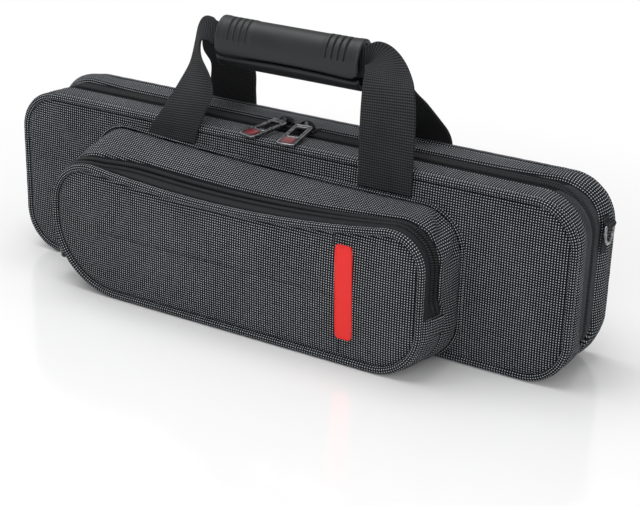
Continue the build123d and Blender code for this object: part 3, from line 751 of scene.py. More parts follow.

# the fabric under the zip's ends, where the real cloth bends as the pocket's panel swings down
foot_end = np.full(len(zip_line), panel_y + pocket_piping_radius - 0.4)
foot_depths = np.linspace(zip_line + 5.9, foot_end, 22, axis=-1)
foot_keep = pocket_loop(zip_line)[:, 1] < pocket_zip_end + 1.5
foot_arch = np.sin(np.pi * np.linspace(0, 1, foot_depths.shape[1]))[None, :]
foot_tuck = 1.4 * np.exp(-(foot_depths - foot_depths[:, -1:]) / 0.8)
foot_reach = 0.7 * foot_arch**0.6 - foot_tuck + 0.3 * np.sin(pocket_run / 17.0) * foot_arch
pocket_foot = pocket_band("pocket_foot_cloth", foot_depths, foot_reach, woven, keep=foot_keep)
thickened(pocket_foot, pocket_cloth)
(panel_y + 9) * MM
(panel_y + 3) * MM
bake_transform(pocket_foot)
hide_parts("pocket_foot_gusset")

# the pocket's zip: a narrow tape behind, a wide smooth one in front, and two coils
above = pocket_loop(zip_line)[:, 1] > pocket_zip_end
smooth_tape = Finish("smooth_tape", Roughness=0.7, Specular_IOR_Level=0.2)
smooth_tape.mottle(1400.0, 3.0, (0.0085, 0.009, 0.010), (0.0155, 0.0162, 0.018), 0.00006)
share = np.linspace(0, 1, 12)[None, :]
back_depths = np.linspace(zip_line + 6.2, zip_line + 0.3, 12, axis=-1)
front_end = np.full(len(zip_line), panel_y + pocket_piping_radius - 1.0)
front_depths = np.linspace(zip_line - 0.3, front_end, 12, axis=-1)
front_off = front_depths[:, :1] - front_depths
front_reach = smooth_step(front_off, 3.6, 4.8) - 0.9 - 0.9 * smooth_step(share, 0.86, 1.0)
for name, depths, reach, finish, body, node in (
    ("pocket_back_tape", back_depths, 0.2 * share - 0.9, tape_cloth, "lid", "pocket_back_zip_tape"),
    ("pocket_front_tape", front_depths, front_reach, smooth_tape, "pocket_flap", "pocket_front_zip_tape"),
):
    tape = pocket_band(name, depths, reach, finish, keep=above)
    thickened(tape, pocket_tape)
    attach(tape, body)
    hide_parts(node)

for name, side, body, node in (
    ("pocket_back_coil", 1, "lid", "pocket_back_zip_teeth"),
    ("pocket_front_coil", -1, "pocket_flap", "pocket_front_zip_teeth"),
):
    line = np.column_stack((pocket_loop(zip_line + side * 2.0), zip_line + side * 2.2))
    centres, tangent = spaced(line[above][:, (0, 2, 1)], coil_pitch)
    out = unit(np.stack((tangent[:, 2], 0 * tangent[:, 0], -tangent[:, 0]), axis=1))
    across = np.cross(tangent, out)
    across *= side * np.sign(across[:, 1:2])
    places = centres - out * 0.75 + tangent * (coil_pitch / 4 * side)
    coil = zip_coil(name, places, tangent, across, out, coil_slant * side, (turn_half_width, 1.95, 1.3))
    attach(coil, body)
    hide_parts(node)


# the panel and its piping
def pocket_panel_depth(distance, x, z):
    """The depth of the panel's cloth: drawn down at its seam, full in the middle and a little uneven."""
    sewn = 2.3 * np.exp(-distance / 1.5) + 0.5 * np.exp(-distance / 6.0)
    swell = 1.6 * (1 - np.exp(-distance / 22.0))
    waves = np.sin(x / 27.0 + z / 19.0) * np.sin(x / 43.0 - z / 23.0)
    sway = 0.25 * waves * (1 - np.exp(-distance / 9.0))
    return panel_y - (1.15 - sewn + swell + sway)


panel_loop = pocket_loop(panel_y, 2 * pocket_piping_radius - 1.1)
pocket_panel = crowned_panel("pocket_panel_cloth", panel_loop, 40, 46.0, pocket_panel_depth)
thickened(pocket_panel, 1.6)
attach(pocket_panel, "pocket_flap")
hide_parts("pocket_panel")

pocket_pinches = ((41, 0.016), (67, 0.014), (119, 0.012))
cord_loop = pocket_loop(panel_y, pocket_piping_radius)
pocket_cord = piping("pocket_piping_cord", cord_loop, panel_y, pocket_piping_radius, pocket_pinches, 0.6, 0.0)
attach(pocket_cord, "pocket_flap")
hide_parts("pocket_piping")

# ---------------------------------------------------------------------------------------------------
# Tag. A blank tab of bright red moulded rubber with a raised rim, sewn flat on the pocket's panel. It
# covers most of the seam between the panel's two pieces of cloth. Above and below it, a thin dark cord of
# thread along the seam is painted shade, standing in for the shade in the seam's groove.
tag_low, tag_high = corners_of("side_tag")
tag_rubber = Finish("tag_rubber", Roughness=0.5, Specular_IOR_Level=0.3)
tag_rubber.mottle(700.0, 3.0, (0.74, 0.020, 0.018), (0.86, 0.030, 0.026), 0.00008)
tag_shift, tag_lean, round_power = 1.3, 0.030, 0.22
tag_middle = (tag_low + tag_high) / 2 + (tag_shift, 0, 0)
tag_half = (tag_high - tag_low) / 2
tag_turn = np.linspace(0, 2 * np.pi, 64, endpoint=False)
tag_x = (np.sign(np.cos(tag_turn)) * np.abs(np.cos(tag_turn)) ** round_power)[:, None]
tag_z = (np.sign(np.sin(tag_turn)) * np.abs(np.sin(tag_turn)) ** round_power)[:, None]
tag_steps = np.array((0.0, 0.35, 0.7, 0.82, 0.88, 0.93, 0.97, 1.0, 1.0))
tag_rise = np.array((0.8, 0.8, 0.8, 0.75, 0.6, 1.25, 1.3, 0.7, -0.4))
tag_inset = tag_half[0] * (1 - tag_steps)
tag_grid = np.stack(np.broadcast_arrays(
    tag_middle[0] - tag_lean * tag_z * tag_half[2] + tag_x * (tag_half[0] - tag_inset),
    tag_low[1] - 0.2 - tag_rise,
    tag_middle[2] + tag_z * (tag_half[2] - tag_inset),
), axis=-1)
tag = sheet_of(
    "red_tag", tag_grid, np.arange(len(tag_turn) + 1.0), np.arange(float(len(tag_steps))), tag_rubber,
    closed=True, merge=True, middle=tag_middle + (0, 3, 0),
)
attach(tag, "pocket_flap")
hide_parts("side_tag")


def rod(points, radius, count=10, closed=False, flat=1.0):
    """A tube round a line of points: circles square to the line, turned with it, and rounded at its ends.

    flat squeezes it along the direction nearest to the line's own plane normal.
    """
    points = np.asarray(points, float)
    if closed:
        tangent = unit(np.roll(points, -1, axis=0) - np.roll(points, 1, axis=0))
    else:
        tangent = unit(np.gradient(points, axis=0))
    normal = np.linalg.svd(points - points.mean(axis=0))[2][2]
    side = unit(np.cross(tangent, normal))
    turn = np.linspace(0, 2 * np.pi, count, endpoint=False)[None, :, None]
    radius = np.broadcast_to(radius, len(points))[:, None, None]
    ring = side[:, None] * np.cos(turn) + flat * np.cross(side, tangent)[:, None] * np.sin(turn)
    tube = points[:, None] + radius * ring
    if closed:
        return tube
    tips, onward = points[[0, -1], None], tangent[[0, -1], None] * radius[[0, -1]]
    caps = tips + 0.72 * (tube[[0, -1]] - tips) + np.array((-0.5, 0.5))[:, None, None] * onward
    ends = tips + 0 * tube[[0, -1]] + np.array((-0.7, 0.7))[:, None, None] * onward
    return np.concatenate((ends[:1], caps[:1], tube, caps[1:], ends[1:]))


def joined(name, parts, finish):
    """One object from closed grids, each joined round its columns and, where marked, round its rows."""
    starts = np.cumsum([0] + [grid[..., 0].size for grid, wrap in parts])
    points = np.vstack([grid.reshape(-1, 3) for grid, wrap in parts])
    faces = [quads(*grid.shape[:2], wrap, True) + start for (grid, wrap), start in zip(parts, starts)]
    made = piece(name, points, np.vstack(faces), finish, turn=False)
    cleaned(made.data, 2e-6, recalculate=True)
    return made


def on_pocket(x, z):
    """Points on the pocket panel's cloth."""
    distance = np.linalg.norm(np.stack((x, z), axis=1)[:, None] - panel_loop[None], axis=2).min(axis=1)
    return np.column_stack((x, pocket_panel_depth(distance, x, z) - 0.3, z))


# the panel's own seam, which the tag covers for most of its height: a thin cord of black thread along it is
# painted shade, for the shade in the seam's groove
thread_and_seam_shade = Finish("black_thread_and_seam_shade", Roughness=0.6, Specular_IOR_Level=0.3)
thread_and_seam_shade.mottle(1500.0, 2.0, (0.010, 0.0105, 0.012), (0.045, 0.047, 0.051))
seam_x, seam_low_x, seam_slope, cord_radius = 70.6, 74.0, 0.09, 0.42
top_run, low_run = np.linspace(tag_high[2] - 1.5, 89.5, 12), np.linspace(tag_low[2] + 2, 8.6, 14)
seam_runs = (
    on_pocket(np.full(len(top_run), seam_x), top_run),
    on_pocket(seam_low_x + (tag_low[2] + 2 - low_run) * seam_slope, low_run),
)
# the dark cords above and below the tag are painted shade along the seam's groove; the same thread finish
# serves the real stitches on the strap ends
seam_shade_cord = joined("seam_shade_cord", [(rod(points, cord_radius, 8), False) for points in seam_runs], thread_and_seam_shade)
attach(seam_shade_cord, "pocket_flap")


# ---------------------------------------------------------------------------------------------------
# Zip sliders and pulls. Die-cast sliders in black enamel, each with an arch that carries a gunmetal
# pull: a stamped frame with a window, rimmed along its edges with lighter metal as painted highlights,
# and a blank tile of red enamel.
def worn_metal(name, body, edge, rough):
    """Cast metal with fine brushing, lighter where it is scuffed."""
    metal = Finish(name, Metallic=0.9)
    scuff = metal.noise(420.0, 4.0, 0.65)
    metal.feed("Base Color", metal.mix(scuff.step(0.42, 0.68), body, edge))
    metal.feed("Roughness", scuff * 0.3 + (rough - 0.15))
    metal.bump(scuff, 0.00006)
    return metal


enamel = worn_metal("black_enamel", (0.018, 0.018, 0.020), (0.05, 0.05, 0.055), 0.38)
gunmetal = worn_metal("gunmetal", (0.055, 0.055, 0.060), (0.20, 0.20, 0.21), 0.36)
# lighter metal for rims along the pulls' edges: painted highlights, standing in for the glints that the edges
# catch
edge_highlight_metal = worn_metal("edge_highlight_metal", (0.30, 0.30, 0.31), (0.62, 0.62, 0.63), 0.30)
red_tile = Finish("red_tile", Roughness=0.3, Coat_Weight=0.6, Coat_Roughness=0.12)
red_tile.mottle(500.0, 3.0, (0.13, 0.012, 0.018), (0.22, 0.020, 0.027))


def in_frame(points, origin, along, out):
    """Points given as (across, along, out) put at an origin whose along and out directions are given."""
    along = unit(np.array(along, float))
    out = unit(out - along * (np.array(out) @ along))
    across = np.cross(along, out)
    return np.array(origin) + points[..., :1] * across + points[..., 1:2] * along + points[..., 2:] * out


def rounded_block(half, edge, count=5):
    """A box with round edges: each direction of a sphere, pushed out to that octant's corner centre."""
    quarter = np.linspace(0, np.pi / 2, count)
    turn = np.concatenate([quarter + n * np.pi / 2 for n in range(4)])
    sign_x = np.repeat((1, -1, -1, 1), count)
    sign_y = np.repeat((1, 1, -1, -1), count)
    rise = np.concatenate((quarter - np.pi / 2, quarter))
    sign_z = np.repeat((-1, 1), count)
    core = np.array(half) - edge
    shell = np.stack((
        sign_x[:, None] * core[0] + edge * np.cos(turn)[:, None] * np.cos(rise),
        sign_y[:, None] * core[1] + edge * np.sin(turn)[:, None] * np.cos(rise),
        np.broadcast_to(sign_z * core[2] + edge * np.sin(rise), (len(turn), len(rise))),
    ), axis=-1)
    poles = np.broadcast_to(np.array(((0, 0, -half[2]), (0, 0, half[2]))), (len(turn), 2, 3))
    return np.concatenate((poles[:, :1], shell, poles[:, 1:]), axis=1)


def rounded_loop(half_x, half_y, corner, middle):
    """A rounded rectangle about (0, -middle), as eight points from each of its four corners."""
    turn = np.concatenate([np.linspace(0, np.pi / 2, 8) + n * np.pi / 2 for n in range(4)])
    sign_x, sign_y = np.repeat((1, -1, -1, 1), 8), np.repeat((1, 1, -1, -1), 8)
    x = sign_x * (half_x - corner) + corner * np.cos(turn)
    y = sign_y * (half_y - corner) + corner * np.sin(turn)
    return np.stack((x, y - middle), axis=1)


pull_width, pull_thickness, pull_half_length, pull_middle = 12.6, 2.2, 16.0, 21.0
window_half_x, window_half_y, window_middle = 3.9, 8.0, 16.6
pin_rise, plate_rise, plate_thickness, slider_half_length = 4.6, 0.3, 1.8, 7.0
lug_apart, arch_radius, eye_radius, highlight_rim_radius = 2.6, 1.15, 0.62, 0.34
tile_half, tile_middle = (4.0, 3.7, 0.45), 30.9


def pull_frame():
    """The stamped plate: a closed ring between its outer edge and its window, with rounded edges."""
    outer = rounded_loop(pull_width / 2, pull_half_length, 2.4, pull_middle)
    inner = rounded_loop(window_half_x, window_half_y, 1.4, window_middle)
    across = np.array((0, 0.0, 0.06, 0.2, 0.5, 0.8, 0.94, 1, 1, 0.94, 0.8, 0.5, 0.2, 0.06, 0))
    level = np.array((-0.45, 0.45, 0.85, 1, 1, 1, 0.85, 0.45, -0.45, -0.85, -1, -1, -1, -0.85, -0.45))
    flat = outer[:, None] * (1 - across[None, :, None]) + inner[:, None] * across[None, :, None]
    rise = np.broadcast_to(level * pull_thickness / 2, flat.shape[:2])
    return np.concatenate((flat, rise[..., None]), axis=-1)


def slider_and_pull(name, origin, along, out, hang, top, half_width):
    """A slider with its arch at origin on the coils, and its pull hanging from the arch along hang."""
    plate = rounded_block((half_width, slider_half_length, plate_thickness / 2), 0.85)
    plate = plate + (0, 0, plate_rise + plate_thickness / 2)
    plate[..., 0] *= 1 - 0.22 * smooth_step(plate[..., 1:2], 0, slider_half_length)[..., 0]
    sweep = np.linspace(0, np.pi, 17)
    arch = np.stack((0 * sweep, -5.0 * np.cos(sweep), 1.6 + 4.6 * np.sin(sweep) ** 0.8), axis=1)
    lug = rounded_block((1.0, 2.3, 1.1), 0.5) + (0, 0, plate_rise + plate_thickness + 0.7)
    lugs = ((lug - (lug_apart, 0, 0), True), (lug + (lug_apart, 0, 0), True))
    parts = ((plate, True), (rod(arch, arch_radius, flat=1.5), False)) + lugs
    placed = [(in_frame(grid, origin, along, out), wrap) for grid, wrap in parts]
    slider = joined(f"{name}_slider_body", placed, enamel)
    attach(slider, f"{name}_slider")
    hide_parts(f"{name}_slider")
    pin = np.array(origin) + unit(np.array(out)) * pin_rise
    turn = np.linspace(0, 2 * np.pi, 20, endpoint=False)
    eye_line = np.stack((0 * turn, 2.0 * np.cos(turn) - 0.4, 1.9 * np.sin(turn)), axis=1)
    neck = rounded_block((2.1, 2.0, 0.8), 0.5) - (0, 3.9, 0)
    eye = rod(eye_line, eye_radius, closed=True, flat=2.4)
    parts = ((pull_frame(), True), (eye, True), (neck, True))
    back = -np.array(hang, float)
    placed = [(in_frame(grid, pin, back, top), wrap) for grid, wrap in parts]
    pull = joined(f"{name}_pull_frame", placed, gunmetal)
    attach(pull, f"{name}_pull")
    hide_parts(f"{name}_pull")
    # rims of lighter metal along the pull's outer edge and round its window: painted highlights on the edges
    rims = []
    for half_x, half_y, corner, middle in (
        (pull_width / 2 - 0.35, pull_half_length - 0.35, 2.1, pull_middle),
        (window_half_x + 0.3, window_half_y + 0.3, 1.6, window_middle),
    ):
        edge = rounded_loop(half_x, half_y, corner, middle)
        edge = np.column_stack((edge, np.full(len(edge), pull_thickness / 2 - 0.12)))
        rims.append((in_frame(rod(edge, highlight_rim_radius, 6, closed=True), pin, back, top), True))
    rim = joined(f"{name}_pull_edge_highlights", rims, edge_highlight_metal)
    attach(rim, f"{name}_pull")
    tile_grid = rounded_block(tile_half, 0.35) + (0, -tile_middle, pull_thickness / 2 + 0.05)
    tile = joined(f"{name}_pull_tile", [(in_frame(tile_grid, pin, back, top), True)], red_tile)
    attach(tile, f"{name}_pull")
    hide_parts(f"{name}_pull_inset")


pull_slope = np.radians(5.5)
for name, slider_x, turn, ahead_x in (("left", -9.5, -15.0, 1), ("right", 6.5, 8.0, -1)):
    lie = np.radians(turn)
    forward = np.array((np.sin(lie), -np.cos(lie), 0.0))
    upward = np.array((0, 0, 1.0))
    hang = forward * np.cos(pull_slope) - upward * np.sin(pull_slope)
    top = forward * np.sin(pull_slope) + upward * np.cos(pull_slope)
    slider_and_pull(name, (slider_x, mid_y, height), (ahead_x, 0, 0), upward, hang, top, 5.4)

side_lean = unit(np.array((-9.3, -40.15, 0.0)))
side_out = np.array((side_lean[1], -side_lean[0], 0.0))
slider_low, slider_high = corners_of("pocket_slider")
pocket_origin = np.array((-147.45, -36.217, (slider_low[2] + slider_high[2]) / 2))
slider_and_pull("pocket", pocket_origin, (0, 0, 1), side_out, (0, 0, -1), side_out, 4.3)

# ---------------------------------------------------------------------------------------------------
# Handle straps. Black nylon webbing, 38 mm wide. The front strap comes out of the pocket's seam and
# the back one is sewn on the back panel; both fold in half lengthwise where they enter the grip.
webbing = Finish("webbing", Roughness=0.8, Specular_IOR_Level=0.15)
web_u, web_v = webbing.measured()
web_rib = (web_u * (1 / (1.7 * MM))).wave()
web_yarn = (web_v * (1 / (1.6 * MM))).wave()
web_slub = webbing.noise(60.0, 3.0)
web_light = web_rib * (web_yarn * 0.8 + 0.2) * (web_slub * 0.8 + 0.6)
webbing.feed("Base Color", webbing.mix(web_light, (0.006, 0.0063, 0.007), (0.066, 0.068, 0.072)))
webbing.bump(web_rib * 0.6 + web_yarn * 0.4, 0.00035)
strap_thickness = 1.8


def flowing(stations, per_span=24):
    """Rows on a Catmull-Rom curve through the stations, evenly spaced along its first three columns.

    On each span it is the cubic whose end slopes are half the difference of the stations either side.
    """
    stations = np.asarray(stations, float)
    slopes = np.gradient(stations, axis=0)
    t = np.linspace(0, 1, per_span, endpoint=False)[None, :, None]
    rise = t * t * (3 - 2 * t)
    curve = stations[:-1, None] * (1 - rise) + stations[1:, None] * rise
    curve = curve + slopes[:-1, None] * t * (1 - t) ** 2 - slopes[1:, None] * t * t * (1 - t)
    curve = np.vstack((curve.reshape(-1, stations.shape[1]), stations[-1:]))
    run, whole = run_of(curve[:, :3], False)
    at = np.linspace(0, whole, int(whole / 1.4))
    return np.stack([np.interp(at, run, curve[:, n]) for n in range(curve.shape[1])], axis=1)


def strap(name, rows, thickness=strap_thickness):
    """A band with round edges along rows of centre, direction across, and width.

    Its section is a flat loop with half-round edges, a little thicker at the selvedges.
    """
    centres, width = rows[:, :3] + (0, mid_y, 0), rows[:, 6]
    across = unit(rows[:, 3:6])
    normal = unit(np.cross(unit(np.gradient(centres, axis=0)), across))
    flat_part = np.linspace(-1, 1, 17)
    edge_turn = np.linspace(np.pi / 2, -np.pi / 2, 7)[1:-1]
    place = np.concatenate((flat_part, np.ones(5), flat_part[::-1], -np.ones(5)))
    poke = np.concatenate((0 * flat_part, np.cos(edge_turn), 0 * flat_part, -np.cos(edge_turn)))
    level = np.concatenate((1 + 0 * flat_part, np.sin(edge_turn), -1 + 0 * flat_part, -np.sin(edge_turn)))
    half = thickness / 2
    selvedge = 1 + 0.12 * smooth_step(np.abs(place), 0.86, 0.95)
    sideways = across[:, None] * (place * (width[:, None] / 2 - half) + poke * half)[..., None]
    grid = centres[:, None] + sideways + normal[:, None] * (level * half * selvedge)[:, None]
    closed_ends = centres[:, None] + sideways * 0.995
    grid = np.concatenate((closed_ends[:1], grid, closed_ends[-1:]))
    run = run_of(centres, False)[0]
    run = np.concatenate(((run[0] - half,), run, (run[-1] + half,)))
    steps = np.hypot(np.diff(place, append=place[0]) * 19, np.diff(level, append=level[0]) * half)
    around = np.concatenate(((0.0,), np.cumsum(steps)))
    made = sheet_of(name, grid, run, around, webbing, tube=True, turn=False)
    cleaned(made.data, recalculate=True)
    return made


# each strap's stations, first to last: X, distance from the middle plane, Z, the direction across the
# band, and its width where it lies flat or is bunched
front_route = (
    (-78.8, -33.1, 107, -1, 0, 0, 38), (-77.5, -33.1, 112, -1, 0, 0, 37.5),
    (-73.9, -33, 119.2, -1, 0, -0.04, 35.8),
    (-69.2, -30.2, 129.5, -1, 0.04, -0.09, 34.5), (-66.3, -24.5, 140, -0.97, 0.2, -0.11, 35.4),
    (-69.6, -16.2, 149.5, -0.87, 0.46, -0.2, 34), (-76.4, -7.0, 158.2, -0.73, 0.65, -0.22, 22),
    (-79.0, -1.6, 166, -0.66, 0.74, 0.0, 17), (-77.6, -0.6, 172.8, -0.56, 0.7, 0.42, 17),
    (-72, -1.8, 176.4, -0.42, 0.45, 0.8, 17.6), (-65.5, -2.8, 175.6, -0.18, 0.2, 0.96, 18.4),
    (-60, -3.5, 173, 0, 0, 1, 19.6), (-30, -3.5, 171.5, 0, 0, 1, 19.6), (20, -3.5, 171.5, 0, 0, 1, 19.6),
    (47, -3.5, 173.5, 0, 0, 1, 21), (54.5, -3.8, 177.6, 0.28, 0.15, 0.95, 21.5),
    (63.5, -8.4, 178.4, 0.87, 0.2, 0.45, 24),
    (72.8, -16.8, 173.4, 1, 0.08, 0.02, 31), (78.2, -26, 166, 1, 0, 0.08, 36),
    (81.2, -31, 151, 1, 0, 0.04, 38),
    (82.2, -33.1, 128, 1, 0, 0, 38), (82.2, -33.1, 118, 1, 0, 0, 38), (82.2, -33.1, 104, 1, 0, 0, 38),
)
back_route = (
    (-73.5, 33.1, 104.3, -1, 0, 0, 38), (-73.5, 33.1, 112, -1, 0, 0, 38), (-73.5, 32.8, 119, -1, 0, 0, 38),
    (-72.2, 30.3, 128, -1, 0, 0, 37.8), (-68.2, 24, 145.5, -1, 0, -0.04, 36),
    (-70.2, 15.5, 156.5, -1, -0.02, 0.02, 32.5), (-71.6, 8.4, 163.6, -0.9, 0, 0.42, 21.5),
    (-66, 5, 169.8, -0.39, 0.03, 0.92, 18), (-60.7, 3.5, 171.5, 0, 0, 1, 19.6),
    (-30, 3.5, 171.5, 0, 0, 1, 19.6), (20, 3.5, 171.5, 0, 0, 1, 19.6), (49.2, 3.5, 171.5, 0, 0, 1, 19.6),
    (57.2, 7.2, 167.0, 0.77, -0.03, 0.63, 18.5), (63.2, 12.2, 158.2, 0.98, -0.02, -0.1, 25.9),
    (67.5, 18.5, 148.8, 0.99, -0.03, -0.14, 32.3), (72.2, 25, 136.8, 0.99, 0, -0.12, 36.8),
    (75, 30.3, 127.2, 1, 0, -0.04, 38), (76.5, 32.8, 119, 1, 0, 0, 38),
    (76.5, 33.1, 112, 1, 0, 0, 38), (76.5, 33.1, 104.3, 1, 0, 0, 38),
)
for name, route, body in (("front_strap", front_route, "front_strap"), ("back_strap", back_route, "handle")):
    rows = flowing(route)
    band = strap(f"{name}_webbing", rows)
    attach(band, body)
    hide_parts(name)
    strap_run, strap_whole = run_of(rows[:, :3], False)

# ---------------------------------------------------------------------------------------------------
# Sewn ends of the back strap. The same webbing, doubled and lying flat on the back panel, held by a
# square of black thread crossed corner to corner.
stitch_length = 2.6
stitch_size = (0.85, 0.24, 0.26)


def stitches(name, lines, out):
    """Stitches along straight lines of points, standing on a surface whose normal is out."""
    middles, ways = [], []
    for start, stop in np.array(lines, float):
        whole = np.linalg.norm(stop - start)
        count = max(2, int(round(whole / stitch_length)))
        share = (np.arange(count)[:, None] + 0.5) / count
        middles.append(start * (1 - share) + stop * share)
        ways.append(np.broadcast_to((stop - start) / whole, (count, 3)))
    middles, ways = np.vstack(middles), np.vstack(ways)
    out = np.broadcast_to(np.array(out, float), ways.shape)
    return repeated(name, middles, ways, np.cross(out, ways), out, stitch_size, thread_and_seam_shade, rows=3, columns=6)


ends_low, ends_high = corners_of("back_strap_ends")
strap_width, end_thickness, end_depth, stitch_depth, stitch_inset = 38, 1.9, 32.95, 33.95, 15.5
for name, anchor in (("left", -73.5), ("right", 76.5)):
    levels = np.linspace(ends_low[2] + 0.4, ends_high[2] + 3.0, 24)
    route = np.array([(anchor, end_depth, z, 1, 0, 0, strap_width) for z in levels])
    patch = strap(f"{name}_strap_end", route, thickness=end_thickness)
    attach(patch, "base")
    west, east = anchor - stitch_inset, anchor + stitch_inset
    low, high = ends_low[2] + 3.0, ends_high[2] - 3.0
    face = mid_y + stitch_depth
    box = [((x0, face, z0), (x1, face, z1)) for x0, z0, x1, z1 in (
        (west, low, east, low), (east, low, east, high), (east, high, west, high), (west, high, west, low),
        (west, low, east, high), (west, high, east, low),
    )]
    crossed = stitches(f"{name}_strap_stitches", box, (0, 1, 0))
    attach(crossed, "base")
    if name == "left":
        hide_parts("back_strap_ends")

# ---------------------------------------------------------------------------------------------------
# Grip. Satin black rubber in two mouldings: a saddle under the straps, and a flap hinged behind that
# wraps over the top and closes down the front. Four finger grooves are cut near each end.
grip_rubber = Finish("grip_rubber", Specular_IOR_Level=0.45)
grip_grain = grip_rubber.noise(1600.0, 2.0)
grip_cloud = grip_rubber.mottle(45.0, 3.0, (0.0085, 0.0095, 0.0108), (0.0145, 0.0158, 0.0175))
grip_rubber.feed("Roughness", grip_cloud * 0.16 + 0.38)
grip_rubber.bump(grip_grain, 0.00005)
grip_start, grip_end, grip_height = -59.5, 48.0, 169.9
grip_half_depth, grip_half_height, grip_wall = 11.5, 16.6, 2.5
end_radius, edge_radius = 1.5, 1.4
grip_length = grip_end - grip_start
grip_x = np.linspace(0, grip_length, 265)
from_end = np.minimum(grip_x, grip_length - grip_x)
centred = 2 * grip_x / grip_length - 1


def quarter_round(share):
    """0 at 0 and 1 from 1 on, along a quarter of a circle: the root of 1 - (1 - share)^2."""
    return np.sqrt(1 - (1 - np.clip(share, 0, 1)) ** 2)


def grip_shell(name, start, stop, outer_relief, samples=72):
    """A wall of the oval between two angles, each given for every x, with round edges all round.

    The section is a closed loop: out along the outer face, round one edge, back along the inner face
    and round the other. Near the ends the wall thins to a half-round edge.
    """
    turn = np.linspace(0, 1, samples)[None, :]
    outer_turn = np.radians(start[:, None] + (stop - start)[:, None] * turn)
    inner_turn = outer_turn[:, ::-1]
    angle = np.concatenate((outer_turn, inner_turn), axis=1)
    edge_run = np.minimum(turn, 1 - turn) * np.radians(stop - start)[:, None] * grip_half_depth
    end_round = quarter_round(from_end / end_radius)[:, None]
    edge_round = quarter_round(edge_run / edge_radius)
    half = grip_wall / 2 * end_round * edge_round
    outer_out = half + outer_relief(outer_turn, grip_x[:, None]) * end_round * edge_round
    out = np.concatenate((outer_out, -half[:, ::-1]), axis=1)
    y = np.cos(angle) * (grip_half_depth - grip_wall / 2 + out)
    z = np.sin(angle) * (grip_half_height - grip_wall / 2 + out)
    grid = np.stack(np.broadcast_arrays((grip_start + grip_x)[:, None], mid_y + y, grip_height + z), axis=-1)
    return joined(name, [(grid, False)], grip_rubber)


first_groove, groove_pitch = 10.05, 4.5
groove_places = first_groove + groove_pitch * np.arange(4)
groove_places = np.concatenate((groove_places, grip_length - groove_places))


def flap_relief(angle, x):
    """Raised collars at the ends and, over the top, eight slots with ribs between them."""
    degrees_up = np.degrees(angle)
    window = smooth_step(degrees_up, 60, 66) * (1 - smooth_step(degrees_up, 165, 172))
    near = np.abs(x[..., None] - groove_places).min(axis=-1)
    slots = -1.6 * (1 - smooth_step(near, 0.35, 0.8)) * window
    from_tip = np.minimum(x, grip_length - x)
    collar = 0.3 * (1 - smooth_step(from_tip, 25.0, 28.0)) * window
    return slots + collar + 0.25 * (1 - smooth_step(from_tip, 4.0, 7.0))


def saddle_relief(angle, x):
    """A low ridge where the flap's edge closes on the saddle."""
    return 0.35 * bell(np.degrees(angle), 214, 14) + 0 * x


# the walls' edges, in degrees round the oval from straight back and up over the top
hinge_edge, flap_edge, saddle_edge, saddle_back = 50.0, 211.0, 216.0, 406.0
lift = 9.0 * (1 - centred**2)
corner = 22.0 * (1 - quarter_round(from_end / 9.0))
flap_start, flap_stop = np.full(len(grip_x), hinge_edge), flap_edge - lift - corner
saddle_start, saddle_stop = saddle_edge - lift - 0.55 * corner, np.full(len(grip_x), saddle_back)
for name, start, stop, relief, body in (
    ("grip_flap", flap_start, flap_stop, flap_relief, "grip_flap"),
    ("grip_saddle", saddle_start, saddle_stop, saddle_relief, "handle"),
):
    shell = grip_shell(f"{name}_rubber", start, stop, relief)
    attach(shell, body)
    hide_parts(name)

# ---------------------------------------------------------------------------------------------------
# D-rings. A ring of bent steel wire hangs in a folded tab of narrow black webbing. The tab is sewn on
# the back half's side fabric at each end of the case, and the ring swings in its fold.
ring_steel = worn_metal("ring_steel", (0.16, 0.16, 0.17), (0.5, 0.5, 0.52), 0.3)
wire, bend, loop_radius, tab_width, tab_thickness = 1.2, 2.2, 1.85, 10.8, 1.2
for name, side in (("left", -1), ("right", 1)):
    low, high = corners_of(f"{name}_ring")
    ring_x, ring_y = (low[0] + high[0]) / 2, (low[1] + high[1]) / 2
    half_width, top_z, drop = (high[1] - low[1]) / 2 - wire, high[2] - wire, high[2] - low[2] - 2 * wire
    bow = np.linspace(0, np.pi, 25)
    bow_start = (drop - half_width * 0.55) * 0.42
    curve = np.stack((half_width * np.cos(bow), -bow_start - (drop * 0.58 + 0.9) * np.sin(bow)), axis=1)
    quarter = np.linspace(0, np.pi / 2, 7)
    left_bend = np.stack((bend * (1 - np.cos(quarter)) - half_width, bend * (np.sin(quarter) - 1)), axis=1)
    right_bend = left_bend[::-1] * (-1, 1)
    bar = np.stack((np.linspace(-half_width + bend, half_width - bend, 8)[1:-1], np.zeros(6)), axis=1)
    line = np.vstack((curve, left_bend, bar, right_bend))
    line = np.stack((np.full(len(line), ring_x), ring_y + line[:, 0], top_z + line[:, 1]), axis=1)
    ring = joined(f"{name}_d_ring", [(rod(line, wire, 12, closed=True), True)], ring_steel)
    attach(ring, f"{name}_ring")
    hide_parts(f"{name}_ring")
    tab_low, tab_high = corners_of(f"{name}_ring_tab")
    base_x = length / 2 - 0.2
    turn = np.linspace(-np.pi * 0.62, np.pi * 0.80, 15)
    route = np.vstack((
        np.stack((np.full(6, base_x), np.linspace(tab_low[2], top_z - 7, 6)), axis=1),
        np.stack((ring_x * side + loop_radius * np.cos(turn), top_z + loop_radius * np.sin(turn)), axis=1),
        np.stack((np.full(3, base_x - 0.5), np.linspace(top_z + 5.5, tab_high[2], 3)), axis=1),
    ))
    route = np.stack((route[:, 0] * side, np.full(len(route), ring_y - mid_y), route[:, 1]), axis=1)
    rows = np.hstack((route, np.tile((0, 1, 0, tab_width), (len(route), 1))))
    tab = strap(f"{name}_ring_webbing", flowing(rows, 12), thickness=tab_thickness)
    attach(tab, "base")
    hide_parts(f"{name}_ring_tab")

